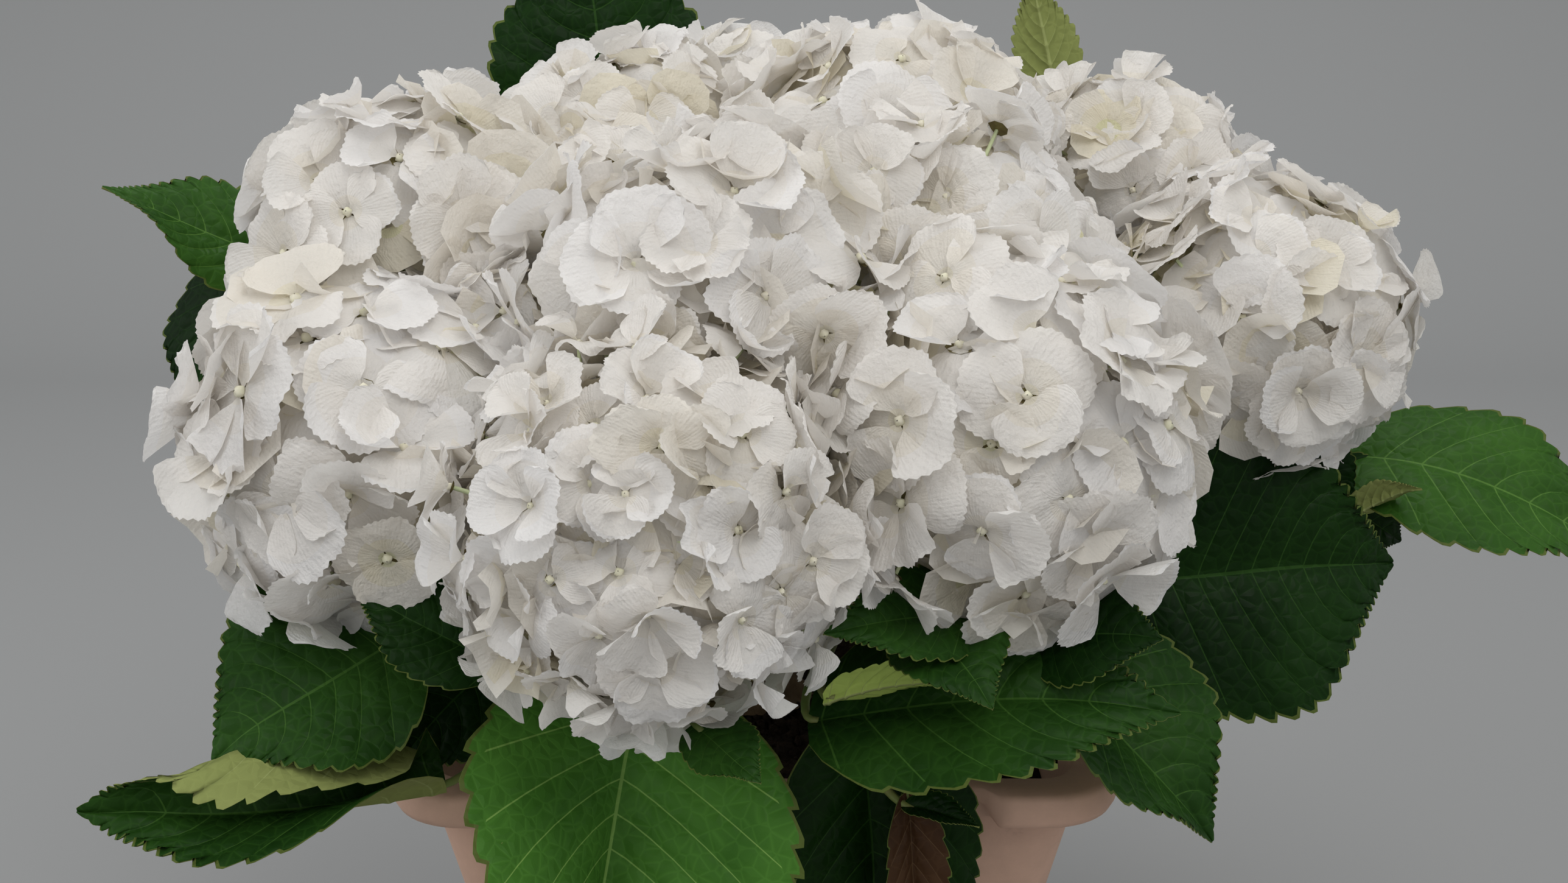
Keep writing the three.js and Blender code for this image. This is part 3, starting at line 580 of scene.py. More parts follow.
def lay_out():
    """The heads and low shoots with their joints along each stem."""
    shoots = {name: head_shoot(name, *sizes) for name, sizes in HEADS.items()}
    find_neighbours(list(shoots.values()))
    for name, end in LOW_SHOOTS.items():
        shoots[name] = {"name": name, "head": False, "leafy": True, "stem_top": np.array(end, float)}
    starts = spread_directions([shoot["stem_top"] - HUB for shoot in shoots.values()])
    for shoot, direction in zip(shoots.values(), starts):
        start = HUB + direction * (HUB_RADIUS + CLEAR)
        reach = np.linalg.norm(shoot["stem_top"] - start)
        leave = start + direction * reach * STEM_BEND
        if shoot["head"]:
            arrive = shoot["stem_top"] - shoot["axis"] * reach * STEM_BEND
        else:
            arrive = start + (shoot["stem_top"] - start) * LOW_SHOOT_BEND
        shoot["curve"] = [start, leave, arrive, shoot["stem_top"]]
        if not shoot["head"]:
            shoot["line"] = shoot["curve"]
            shoot["node"] = bezier(shoot["curve"], [LOW_NODE_SHARE])[0]
    return shoots


SHOOTS = lay_out()
CAP_SHARE = 0.05


def tube(pile, path, radii, sides, slot, ripple=0.0, seed=0):
    """A round limb along a path, with drawn-in ends, rippled by a share of its radius."""
    rng = np.random.default_rng(seed)
    path = np.asarray(path, float)
    tangents = unit(np.gradient(path, axis=0))
    u, _ = cross_axes(tangents[0])
    rings = []
    phases = rng.uniform(0, TURN, 2)
    angles = np.arange(sides) * TURN / sides
    radii = np.broadcast_to(radii, len(path))
    for i, (point, tangent, radius) in enumerate(zip(path, tangents, radii)):
        u = unit(u - (u @ tangent) * tangent)
        v = np.cross(tangent, u)
        wave = 1 + ripple * (np.sin(3 * angles + phases[0] + i * 0.31) * 0.6
                             + np.sin(5 * angles + phases[1] - i * 0.47) * 0.4)
        outward = u * np.cos(angles)[:, None] + v * np.sin(angles)[:, None]
        rings.append(point + outward * (radius * wave)[:, None])
    first = path[0] + (rings[0] - path[0]) * CAP_SHARE
    last = path[-1] + (rings[-1] - path[-1]) * CAP_SHARE
    pile.add_grids(np.stack([[first, *rings, last]]), slot, closed=True)


# Flower heads: layers of florets, each of sepals that spread from claw to rim

# Places from claw to rim and from side to side, and the finer ones of the toothed rim
SEPAL_ROWS = np.array([0.05, 0.16, 0.32, 0.52, 0.74, 0.93])
SEPAL_COLUMNS = np.linspace(-1, 1, 11)
RIM_COLUMNS = np.linspace(-1, 1, 31)
INNER_ROWS = np.array([0.06, 0.3, 0.65, 1.0])
INNER_COLUMNS = np.linspace(-1, 1, 7)

# Layers of florets: how often they cover the head, share of their seat, how much creamier; the deeper
# layers' extra cream is partly the florets' own colour and partly painted warm light bounced into the
# crevices
OUTER_LAYER = (1.75, 1.0, 0.0)
INNER_LAYERS = ((1.2, 0.86, 1.2), (0.8, 0.72, 2.0))
HEAD_SEED = 400

# Places of florets, in half widths of a floret, in heads' radii and in radians
FLORET_SCATTER = 0.24
BORDER_CROSSING = 0.45
SEAT_CHORD = 0.8
SEAT_DEPTH = 0.4
DEEPEST = 0.11
FLORET_TILT = 0.27

# Draws of florets: spans, or middle and spread
SEPAL_NUMBERS = (3, 4, 4, 4, 4, 4, 4, 5)
HALF_ANGLES = {3: 80, 4: 69, 5: 58}
FLORET_SIZES = (0.88, 1.12)
YOUNG_SHARE = 0.04
YOUNG_SIZE = 0.7
YOUNG_TINT = 1.4
CUP = 0.3
CUP_SPREAD = 0.11
UPPER_LENGTH = 0.93
UPPER_LIFT = 0.06
FLORET_TINT = (0.1, 0.4)
TINT_SPREAD = 0.15
# Draws of each sepal, in this order; a crumpled head spreads the named ones more
SEPAL_DRAWS = {
    "turn": ("normal", 0, 0.07),
    "length": ("uniform", 0.92, 1.06),
    "half": ("uniform", 0.92, 1.08),
    "lift": ("normal", 0, 0.08),
    "curl": ("normal", -0.14, 0.16),
    "bowl": ("normal", 0.09, 0.13),
    "ruffle": ("uniform", 0.015, 0.075),
    "waves": ("uniform", 1.2, 3.0),
    "phase": ("uniform", 0, TURN),
    "skew": ("normal", 0, 0.1),
    "pinch": ("uniform", 0.02, 0.07),
}
CRUMPLED = ("lift", "curl", "bowl")

# Form of a sepal, in shares of its length or of its half angle
CLAW_WIDTH = 0.36
CLAW_END = 0.32
TIP_NARROWING = 0.17
NOTCH_WIDTH = 0.2
CORNER_ROUNDING = 0.25
RIM_TOOTH = 0.016
# In millimetres: gap over the seat, upper pair over the lower one, give at borders and outwards
SEPAL_RISE = 0.3
UPPER_RISE = 0.8
BORDER_GIVE = 22
OUTWARD_GIVE = 5.5
TINY = 1e-6

# Steps down the ladder of petal colours by place from claw to rim
LADDER_PLACES = (0.0, 0.12, 0.3, 0.55, 1.0)
LADDER_STEPS = (3.1, 2.2, 1.4, 0.9, 0.5)

# Trim under and in the florets; its sizes are shares of a floret's half width
TRIM_MATERIALS = [BUD, STALK, SHADE_CUP]
BUD_SLOT, STALK_SLOT, SHADE_CUP_SLOT = range(3)
BUD_SIZES = (0.065, 0.09)
BUD_POLAR = np.linspace(0.12, 2.6, 4)
BUD_SIDES = 12
SHADE_CUP_SIZES = (0.09, 0.2)
SHADE_CUP_SIDES = 8
# Rings of a dark cup of painted shade: share of its radius, height in millimetres
SHADE_CUP_RINGS = ((1.0, 0.2), (0.75, -0.2), (0.12, -0.7))


def reach_along(shoot, directions):
    """A head's reach in each direction: it swells towards its neighbours."""
    swell = np.zeros(directions.shape[:-1])
    for towards, border in shoot["neighbours"]:
        off = (directions @ towards - border / shoot["radius"]) / GROOVE_WIDTH
        swell = np.maximum(swell, np.exp(-off ** 2))
    return shoot["radius"] * (1 + GROOVE_FILL * swell)


def spiral(axis, count, widest):
    """Directions on a spiral from a head's top down to the given angle."""
    u, v = cross_axes(axis)
    k = np.arange(count)
    cosine = 1 - (1 - math.cos(widest)) * (k + 0.5) / count
    sine = np.sqrt(1 - cosine ** 2)
    angle = k * GOLDEN_ANGLE
    return (axis * cosine[:, None] + u * (sine * np.cos(angle))[:, None]
            + v * (sine * np.sin(angle))[:, None])


def floret_places(shoot, rng, cover, share):
    """Where the florets of one layer sit and the ways they face."""
    radius = shoot["radius"]
    size = shoot["floret"]
    count = int(round(cover * 2 * (1 - math.cos(HEAD_CAP)) * (radius / size) ** 2))
    directions = spiral(shoot["axis"], count, HEAD_CAP)
    scatter = rng.normal(0, FLORET_SCATTER * size / radius, directions.shape)
    directions = unit(directions + scatter)
    keep = np.ones(len(directions), bool)
    for towards, border in shoot["neighbours"]:
        keep &= directions @ towards * radius < border + BORDER_CROSSING * size
    directions = directions[keep]
    reach = reach_along(shoot, directions)
    seat = np.sqrt(reach ** 2 - (SEAT_CHORD * size) ** 2) - SEAT_DEPTH * size
    sunk = rng.uniform(0, DEEPEST, len(directions)) * radius
    centres = shoot["middle"] + directions * (seat * share - sunk)[:, None]
    axes = unit(directions + rng.normal(0, FLORET_TILT, directions.shape))
    return centres, axes


def sepal_traits(shoot, centres, axes, rng, tint):
    """The place, size, bearing and bend of each sepal of a layer, three to five to a floret."""
    count = len(centres)
    size = shoot["floret"] * rng.uniform(*FLORET_SIZES, count)
    number = rng.choice(SEPAL_NUMBERS, count)
    young = rng.random(count) < YOUNG_SHARE
    size = size * np.where(young, YOUNG_SIZE, 1.0)
    twist = rng.uniform(0, math.pi, count)
    crumple = CRUMPLE.get(shoot["name"], 1.0)
    cup = rng.normal(CUP, CUP_SPREAD * crumple, count)
    u, v = cross_axes(axes)
    floret, order = np.nonzero(np.arange(max(SEPAL_NUMBERS))[None] < number[:, None])
    total = len(floret)
    upper = order % 2
    half = np.radians([HALF_ANGLES[sepals] for sepals in number])[floret]
    traits = {"frame": (centres[floret], u[floret], v[floret], axes[floret]), "upper": upper}
    for name, (kind, first, second) in SEPAL_DRAWS.items():
        draw = rng.normal if kind == "normal" else rng.uniform
        traits[name] = draw(first, second * crumple if name in CRUMPLED else second, total)
    traits["turn"] += twist[floret] + order * TURN / number[floret]
    traits["length"] *= size[floret]
    traits["length"] *= np.where(upper, UPPER_LENGTH, 1.0)
    traits["half"] *= half
    traits["lift"] += cup[floret]
    traits["lift"] += UPPER_LIFT * upper
    traits["ruffle"] *= crumple
    tint = tint + rng.normal(*FLORET_TINT, count) + YOUNG_TINT * young
    traits["tint"] = tint[floret] + rng.normal(0, TINT_SPREAD, total)
    return traits


def in_frames(frame, x, y, z):
    """Points given by their places along each floret's two cross axes and its own axis."""
    centre, u, v, axis = (part[:, None, None] for part in frame)
    return centre + u * x[..., None] + v * y[..., None] + axis * z[..., None]


def give(excess, most):
    """What is left of an excess that is held back, up to the most."""
    return most * (1 - np.exp(-excess / most))


def keep_in_space(shoot, points):
    """Bends petals back where they would leave the head's reach or enter a neighbour's space."""
    away = points - shoot["middle"]
    for towards, border in shoot["neighbours"]:
        excess = np.maximum(away @ towards - border, 0)
        away = away - towards * (excess - give(excess, BORDER_GIVE))[..., None]
    reach = np.linalg.norm(away, axis=-1, keepdims=True)
    most = reach_along(shoot, away / np.maximum(reach, TINY))[..., None]
    excess = np.maximum(reach - most, 0)
    held = np.minimum(reach, most) + give(excess, OUTWARD_GIVE)
    return shoot["middle"] + away * held / np.maximum(reach, TINY)


def sepal_surface(shoot, traits, rows, columns, tooth=0.0):
    """Points of all sepals at the given places from claw to rim and from side to side."""
    s = rows[None, :, None]
    t = columns[None, None, :]
    (turn, length, half, lift, curl, bowl, ruffle, waves, phase, skew, pinch, upper) = (
        traits[name][:, None, None] for name in (*SEPAL_DRAWS, "upper"))
    opening = CLAW_WIDTH + (1 - CLAW_WIDTH) * smooth_step(s / CLAW_END)
    angle = half * opening * (1 - TIP_NARROWING * s ** 8) * t + turn + skew * s ** 2
    notch = pinch * np.exp(-(t / NOTCH_WIDTH) ** 2) * s ** 6
    teeth = tooth * np.cos(np.arange(len(columns))[None, None] * math.pi)
    reach = length * s * (1 - CORNER_ROUNDING * np.abs(t) ** 2.6 * s ** 1.3 - notch + teeth)
    rise = length * (
        lift * s + curl * s ** 2 + bowl * t ** 2 * s
        + ruffle * s ** 2 * np.sin(waves * t * math.pi + phase)
        + 0.008 * s * np.cos(t * 9 + phase)
        + 0.014 * s ** 6 * np.sin(t * 14 + phase * 3))
    rise = rise + SEPAL_RISE + UPPER_RISE * upper - reach ** 2 / (2 * shoot["radius"]) * 0.7
    points = in_frames(traits["frame"], reach * np.cos(angle), reach * np.sin(angle), rise)
    uvs = np.stack(np.broadcast_arrays(t * (2.2 + s * 1.6) + phase, s * 0.8 + phase), -1)
    return keep_in_space(shoot, points), uvs


def ladder_slots(traits, rows, columns):
    """Petal colours by place: creamier towards the claw and on young florets."""
    middle = (rows[1:] + rows[:-1]) / 2
    step = np.interp(middle, LADDER_PLACES, LADDER_STEPS)
    ladder = np.clip(np.round(step[None] + traits["tint"][:, None]), 0, len(PETAL_LADDER) - 1)
    return np.repeat(ladder[:, :, None], len(columns) - 1, axis=2).ravel()


def add_sepals(pile, shoot, traits, rows, columns, rim=None):
    """Adds a layer's sepals; the rim, where given, is a finer strip with a toothed edge."""
    body, uvs = sepal_surface(shoot, traits, rows, columns)
    pile.add_grids(body, ladder_slots(traits, rows, columns), uvs)
    if rim is None:
        return
    edge, edge_uvs = sepal_surface(shoot, traits, np.array([1.0]), rim, RIM_TOOTH)
    place = (rim + 1) / 2 * (len(columns) - 1)
    low = np.minimum(place.astype(int), len(columns) - 2)
    share = (place - low)[None, :, None]
    inner = body[:, -1, low] * (1 - share) + body[:, -1, low + 1] * share
    inner_uvs = uvs[:, -1, low] * (1 - share) + uvs[:, -1, low + 1] * share
    strip = np.stack([inner, edge[:, 0]], axis=1)
    strip_uvs = np.stack([inner_uvs, edge_uvs[:, 0]], axis=1)
    pile.add_grids(strip, ladder_slots(traits, np.array([rows[-1], 1.0]), rim), strip_uvs)


def add_buds(pile, shoot, centres, axes, rng):
    """A little four-lobed bud in the middle of each floret."""
    count = len(centres)
    u, v = cross_axes(axes)
    size = rng.uniform(*BUD_SIZES, count) * shoot["floret"]
    angle = np.arange(BUD_SIDES) * TURN / BUD_SIDES
    turn = rng.uniform(0, math.pi, count)[:, None]
    lobes = 1 + 0.14 * np.cos(4 * (angle[None] + turn))
    across = np.sin(BUD_POLAR)[None, :, None] * lobes[:, None, :]
    x = across * np.cos(angle)[None, None] * size[:, None, None]
    y = across * np.sin(angle)[None, None] * size[:, None, None]
    z = (np.cos(BUD_POLAR)[None, :, None] * 0.9 + 0.6) * size[:, None, None]
    pile.add_grids(in_frames((centres, u, v, axes), x, y, z), BUD_SLOT, closed=True, turned=True)


def add_shade_cups(pile, shoot, centres, axes, rng):
    """A small dark cup under each floret whose colour paints the shade seen through the slots between
    the claws of its sepals.
    """
    u, v = cross_axes(axes)
    radius = rng.uniform(*SHADE_CUP_SIZES, len(centres)) * shoot["floret"]
    angle = np.arange(SHADE_CUP_SIDES) * TURN / SHADE_CUP_SIDES
    outward = u[:, None] * np.cos(angle)[None, :, None] + v[:, None] * np.sin(angle)[None, :, None]
    rings = []
    for share, height in SHADE_CUP_RINGS:
        rings.append(centres[:, None] + outward * (radius * share)[:, None, None]
                     + (axes * height)[:, None])
    pile.add_grids(np.stack(rings, axis=1), SHADE_CUP_SLOT, closed=True)


def add_pedicels(pile, shoot, centres, axes):
    """Thin stalks from the flower stalk's forks out to each floret."""
    fork = shoot["middle"] - shoot["axis"] * shoot["radius"] * 0.3
    for centre, axis in zip(centres, axes):
        start = fork + (centre - fork) * 0.12
        bend = centre - axis * np.linalg.norm(centre - start) * 0.45
        path = bezier([start, bend, centre], np.linspace(0, 1, 5))
        tube(pile, path, np.linspace(1.3, 0.8, 5), sides=4, slot=STALK_SLOT)


def build_head(shoot, index):
    """A head's petals in three layers, and its buds, dark cups of painted shade and stalks."""
    rng = np.random.default_rng(HEAD_SEED + index)
    petals = Pile()
    cover, share, tint = OUTER_LAYER
    centres, axes = floret_places(shoot, rng, cover, share)
    traits = sepal_traits(shoot, centres, axes, rng, tint)
    add_sepals(petals, shoot, traits, SEPAL_ROWS, SEPAL_COLUMNS, RIM_COLUMNS)
    for cover, share, tint in INNER_LAYERS:
        deep = sepal_traits(shoot, *floret_places(shoot, rng, cover, share), rng, tint)
        add_sepals(petals, shoot, deep, INNER_ROWS, INNER_COLUMNS)
    trim = Pile()
    add_buds(trim, shoot, centres, axes, rng)
    add_shade_cups(trim, shoot, centres, axes, rng)
    add_pedicels(trim, shoot, centres, axes)
    stalk_end = shoot["middle"] - shoot["axis"] * shoot["radius"] * 0.2
    stalk = bezier([shoot["stalk_foot"], stalk_end], np.linspace(0, 1, 6))
    tube(trim, stalk, np.linspace(STEM_TIP_RADIUS, 2.4, 6), sides=10, slot=STALK_SLOT)
    name = shoot["name"]
    node = f"flower_head_{name}"
    make_object(f"petals_{name}", petals, PETAL_LADDER, node)
    make_object(f"buds_and_stalks_{name}", trim, TRIM_MATERIALS, node)


def build_heads():
    heads = [shoot for shoot in SHOOTS.values() if shoot["head"]]
    for index, shoot in enumerate(heads):
        build_head(shoot, index)


# Leaves: two sheets that close in to a thin gap at the margin, with rows that follow the side veins

# Places between two side veins, with the margin's tooth at each, and from midrib to margin
VEIN_ROWS = np.array([0.0, 0.05, 0.17, 0.29, 0.42, 0.54, 0.66, 0.78, 0.9])
TOOTH = np.array([0.15, 0.3, 0.7, 1.0, 0.9, 0.1, 0.55, 0.95, 1.0])
BLADE_COLUMNS = np.array([0.013, 0.1, 0.22, 0.36, 0.52, 0.68, 0.82, 0.93, 0.975, 1.0])

# First and last rows: place, phase between two veins, tooth
FIRST_ROWS = [(0.006, 0.7, 0.0), (0.022, 0.9, 0.0)]
LAST_ROWS = [(0.994, 0.5, 0.0)]
VEIN_OFFSET = 0.35
# Shares of the length, and of the width between two veins
VEIN_SWEEP = 0.34
VEIN_SLIMMING = 0.85
TAPER = 0.66
TAPER_START = 0.56
TOOTH_LEAN = 0.014
QUILT = 0.011
RIB_DEPTH = 0.006
SWAY = 0.02
WAVES = (0.04, 0.09)
DROOPS = (0.02, 0.1)
# Millimetres
BLADE_THICKNESS = 0.35
RIB_THICKNESS = 1.5
VEIN_THICKNESS = 0.45
LEAF_SEED = 900
GREEN_RIPPLE = 0.04


def width_profile(x):
    """Half the blade's width at each place from base to tip, as a share of its half width."""
    x = np.clip(x, 1e-4, 1 - 1e-4)
    rise = (x / LEAF_WIDEST) ** LEAF_BASE_ROUNDNESS
    fall = ((1 - x) / (1 - LEAF_WIDEST)) ** LEAF_TIP_ROUNDNESS
    taper = 1 - TAPER * smooth_step((x - TAPER_START) / (1 - TAPER_START))
    return rise * fall * taper * 0.97


def blade_rows(veins):
    """Places along the midrib, with their phase between two side veins and their tooth."""
    rows = []
    for vein in range(veins):
        for offset, tooth in zip(VEIN_ROWS, TOOTH):
            place = (vein + offset + VEIN_OFFSET) / (veins + VEIN_OFFSET)
            if 0.03 < place < 0.99:
                rows.append((place, offset, tooth))
    return np.array(FIRST_ROWS + rows + LAST_ROWS)


def leaf_axes(spec):
    """A blade's base, the way to its tip, its length and its upper side at base and tip."""
    base = np.array(spec["base"], float)
    along = np.array(spec["tip"], float) - base
    length = np.linalg.norm(along)
    along = along / length
    faces = []
    for way in (spec["face"], spec["face_tip"]):
        way = np.array(way, float)
        faces.append(unit(way - (way @ along) * along))
    return base, along, length, *faces


def half_blade(spec, rows, length, side, sway, wave):
    """One half from midrib to margin: place along the blade, way out, rise and slope."""
    q = rows[:, 0]
    phase = rows[:, 1]
    t = BLADE_COLUMNS[None, :]
    landing = q + VEIN_SWEEP * np.sin(math.pi * np.clip(q, 0, 1) ** 0.85) * (1 - q) ** 0.35
    landing = np.clip(landing, 0, 0.997)
    slimming = np.isclose(phase, VEIN_ROWS[1]) * VEIN_SLIMMING * VEIN_ROWS[1]
    slimming = slimming / (spec["veins"] + VEIN_OFFSET)
    x = q[:, None] + (landing - q)[:, None] * t ** 1.3 - slimming[:, None] * t

    margin = smooth_step((t - 0.8) / 0.2)
    fade = smooth_step((1 - landing) / 0.14) * smooth_step((landing - 0.03) / 0.1)
    tooth = rows[:, 2][:, None] * margin * fade[:, None]
    wide = spec["width"] / 2 * spec["wide"][side] * width_profile(x)
    across = wide * t + tooth * spec["tooth"] * length
    x = x + tooth * TOOTH_LEAN

    fold = spec["folds"][side] * (1 - x) + spec["folds_tip"][side] * x
    angle = fold * (1.12 - 0.12 * t) + 0.05 - 0.2 * t
    if side == 1:
        rolled = smooth_step((t - 0.42) / 0.22)
        rolled = rolled * smooth_step(x / 0.1) * smooth_step((0.95 - x) / 0.25)
        angle += spec["curl"] * rolled
    steps = np.diff(across, axis=1, prepend=0)
    out = np.cumsum(steps * np.cos(angle), axis=1)
    up = np.cumsum(steps * np.sin(angle), axis=1)

    bulge = np.sin(math.pi * np.clip(x, 0, 1))
    between = np.sin(math.pi * np.clip((phase - 0.025) / 0.95, 0, 1))[:, None] ** 0.8
    quilt = between * (1 - t ** 5) * np.minimum(t * 5, 1) * QUILT * length
    quilt = quilt * bulge ** 0.6
    up = up + quilt * 0.9 - RIB_DEPTH * length * (1 - np.minimum(t * 4, 1))
    up = up + wave * (spec["width"] / 2) * t ** 3 * np.sin(x * 11 + sway) * bulge
    sign = (-1, 1)[side]
    return x, out * sign, up, angle * sign


def blade_slots(spec, rows, t, slots):
    """The slots of the upper and lower faces: veins, pale margin and the rest."""
    count = len(rows) - 1
    middle = (t[1:] + t[:-1]) / 2
    at_vein = rows[:-1, 1] < 0.01
    in_reach = rows[:-1, 0] < 0.84
    on_vein = at_vein[:, None] & (middle < 0.95)[None] & in_reach[:, None]
    on_vein[:, len(BLADE_COLUMNS) - 1] = True
    edge_start = np.full(len(middle), PALE_EDGE)
    edge_start[len(BLADE_COLUMNS):] = spec["edge"]
    pale = np.broadcast_to(middle > edge_start, (count, len(middle)))
    top = np.where(pale, slots["edge"], slots[spec["tone"]])
    top = np.where(on_vein, slots[f"vein_{spec['tone']}"], top)
    under = np.where(on_vein, slots["under_vein"], slots[spec["under"]])
    return top.ravel(), under.ravel()


def build_leaf(pile, spec, rng, slots):
    """One blade of two sheets, quilted between its veins."""
    base, along, length, face_base, face_tip = leaf_axes(spec)
    rows = blade_rows(spec["veins"])
    sway = rng.uniform(0, TURN, 3)
    wave = rng.uniform(*WAVES)
    droop = rng.uniform(*DROOPS)
    halves = [half_blade(spec, rows, length, side, sway[side], wave) for side in (0, 1)]
    x, out, up, slope = (np.concatenate([first[:, ::-1], second], axis=1)
                         for first, second in zip(*halves))
    slope = slope[..., None]
    t = np.concatenate([BLADE_COLUMNS[::-1], BLADE_COLUMNS])

    blend = x[..., None]
    face = unit(face_base * (1 - blend) + face_tip * blend)
    side = np.cross(along, face)
    fall = droop * length * smooth_step((x - 0.7) / 0.3) ** 2 * 0.5
    bow = spec["arch"] * length * 4 * x * (1 - x) - fall
    middle = base + along * (length * x)[..., None] + face_base * bow[..., None]
    middle = middle + side * (SWAY * length * np.sin(x * 5 + sway[2]))[..., None] * x[..., None]
    upper = middle + side * out[..., None] + face * up[..., None]

    rib = np.where(t < 0.03, 1.0, 0.0)[None] * (RIB_THICKNESS * (1 - x) + 0.3)
    ridge = (rows[:, 1] < 0.06)[:, None] * (1 - t[None] ** 2) * VEIN_THICKNESS * (1 - 0.5 * x)
    thick = BLADE_THICKNESS * (1 - 0.75 * (t > 0.99))[None] + rib + ridge
    lower = upper - (face * np.cos(slope) - side * np.sin(slope)) * thick[..., None]

    top, under = blade_slots(spec, rows, t, slots)
    pile.add_grids(upper[None], top)
    pile.add_grids(lower[None], under, turned=True)


def build_petiole(pile, spec, node, slot, seed):
    """The leaf's stalk, from its shoot's node into the base of the midrib."""
    base = np.array(spec["base"], float)
    along = unit(np.array(spec["tip"], float) - base)
    reach = np.linalg.norm(base - node)
    bend = base - along * min(reach * PETIOLE_BEND, PETIOLE_BEND_MOST)
    path = bezier([node, bend, base + along * PETIOLE_SINK], np.linspace(0, 1, 14))
    radii = np.linspace(PETIOLE_RADIUS * 1.15, PETIOLE_TIP_RADIUS * 0.8, 14)
    tube(pile, path, radii, 8, slot, GREEN_RIPPLE, seed)


def ring_leaves(name, shoot, numbers):
    """The leaves of a ring, each out and down from its node."""
    turns, length, drop, pitch_degrees = LEAF_RINGS[name]
    bearing = math.atan2(shoot["node"][1], shoot["node"][0])
    leaves = []
    for turn, tone in zip(turns, RING_TONES):
        angle = bearing + math.radians(turn)
        pitch = math.radians(pitch_degrees + (next(numbers) - 0.5) * RING_PITCH_SPREAD)
        level = np.array([math.cos(angle), math.sin(angle), 0.0])
        base = shoot["node"] + level * RING_PETIOLE - (0, 0, drop)
        tip = base + level * length * math.cos(pitch) - (0, 0, length * math.sin(pitch))
        face = (level[0] * RING_LEAN, level[1] * RING_LEAN, 1)
        leaves.append(leaf(base, tip, face, length * RING_WIDTH_SHARE, RING_ARCH,
                           (RING_FOLD, RING_FOLD), tone=tone))
    return leaves


def build_foliage():
    """Each leafy shoot with its leaves and their stalks."""
    numbers = random_from(RING_SEED)
    slots = {name: index for index, name in enumerate(LEAF_MATERIALS)}
    steps = np.linspace(0, 1, 16)
    seed = LEAF_SEED
    for name, shoot in SHOOTS.items():
        if not shoot["leafy"]:
            continue
        own = list(LEAVES.get(name, ()))
        if name in LEAF_RINGS:
            own += ring_leaves(name, shoot, numbers)
        pile = Pile()
        for spec in own:
            seed += 1
            build_leaf(pile, spec, np.random.default_rng(seed), slots)
            build_petiole(pile, spec, shoot["node"], slots["petiole"], seed)
        radius = STEM_TIP_RADIUS if shoot["head"] else LOW_SHOOT_RADIUS
        radii = radius * (1 + 0.12 * np.exp(-((steps - 0.5) / 0.12) ** 2))
        tube(pile, bezier(shoot["line"], steps), radii, 12, slots["petiole"], GREEN_RIPPLE, seed)
        make_object(f"leaves_{name}", pile, LEAF_MATERIALS.values(), f"foliage_{name}")


# Stems and woody foot

STEM_SEED = 60
FOOT_SEED = 31
FOOT_SIDES = 72
# Cracks round the foot: depth, count, how fast they wander with height
CRACKS = ((0.05, 9, 0.05), (0.035, 17, -0.08), (0.02, 31, 0.3))


def build_stems():
    """The skin of each main bough, a little swollen at one old leaf joint."""
    steps = np.linspace(0, 1, 36)
    radii = STEM_RADIUS + (STEM_TIP_RADIUS - STEM_RADIUS) * steps
    radii = radii * (1 + 0.1 * np.exp(-((steps - 0.55) / 0.03) ** 2))
    for index, (name, shoot) in enumerate(SHOOTS.items()):
        if shoot["head"]:
            pile = Pile()
            tube(pile, bezier(shoot["curve"], steps), radii, sides=14, slot=0, ripple=0.05,
                 seed=STEM_SEED + index)
            make_object(f"stem_skin_{name}", pile, [STEM], f"stem_{name}")


def build_foot():
    """The flared foot with its round top, under cracked bark."""
    rng = np.random.default_rng(FOOT_SEED)
    profile = []
    for t in np.linspace(0, 1, 10):
        height = SOIL_TOP + CLEAR + HUB_RISE * 0.4 * t
        profile.append((height, FOOT_RADIUS + (FOOT_NECK - FOOT_RADIUS) * t ** 0.55))
    for angle in np.linspace(-0.6, math.pi / 2 - 0.05, 14):
        profile.append((HUB[2] + HUB_RADIUS * math.sin(angle), HUB_RADIUS * math.cos(angle)))
    turn = np.arange(FOOT_SIDES) * TURN / FOOT_SIDES
    phases = rng.uniform(0, TURN, len(CRACKS))
    rings = []
    for height, radius in profile:
        bark = sum(depth * np.sin(count * turn + phase + height * wander)
                   for (depth, count, wander), phase in zip(CRACKS, phases))
        wide = radius * (0.96 + bark)
        rings.append(np.stack([wide * np.cos(turn), wide * np.sin(turn),
                               np.full(FOOT_SIDES, height)], -1))
    pile = Pile()
    pile.add_grids(np.stack([rings]), 0, closed=True)
    make_object("foot_bark", pile, [BARK], "woody_foot")


# Planter and soil, both of rings round a rounded square

CORNER_STEPS = 12
SIDE_STEPS = 40
JUST_PAST_CORNER = -0.999
# The middle of a floor and the ring that its face ends on: half width, corner
FLOOR_MIDDLE = (6, 3)
FLOOR_RING = (60, 22)
# Rounded foot of the wall: inset of the side, inset of the corner, height
FOOT_EDGE = ((10, 6, 0), (9, 5, 0), (3, 0, 0.2), (0.9, 0, 1.0), (0, 0, 3.2))
# Rounded rim: inset, height over its lower edge, less reach and less drop of the grips
RIM_LOWER_EDGE = ((1.6, 0.1, 4, 0), (0.5, 0.5, 1.2, 0.5), (0, 1.4, 0, 3))
# Rounded rim: inset, depth under its top
RIM_UPPER_EDGE = ((0, 2.6), (0.6, 1.0), (2.2, 0))
SOIL_SEED = 77
MOUND_EDGE = 0.6
CRUMBS = 900
CRUMB_SIZES = (0.8, 2.8)
CRUMB_POLAR = np.linspace(0.2, math.pi - 0.2, 4)
CRUMB_SIDES = 6


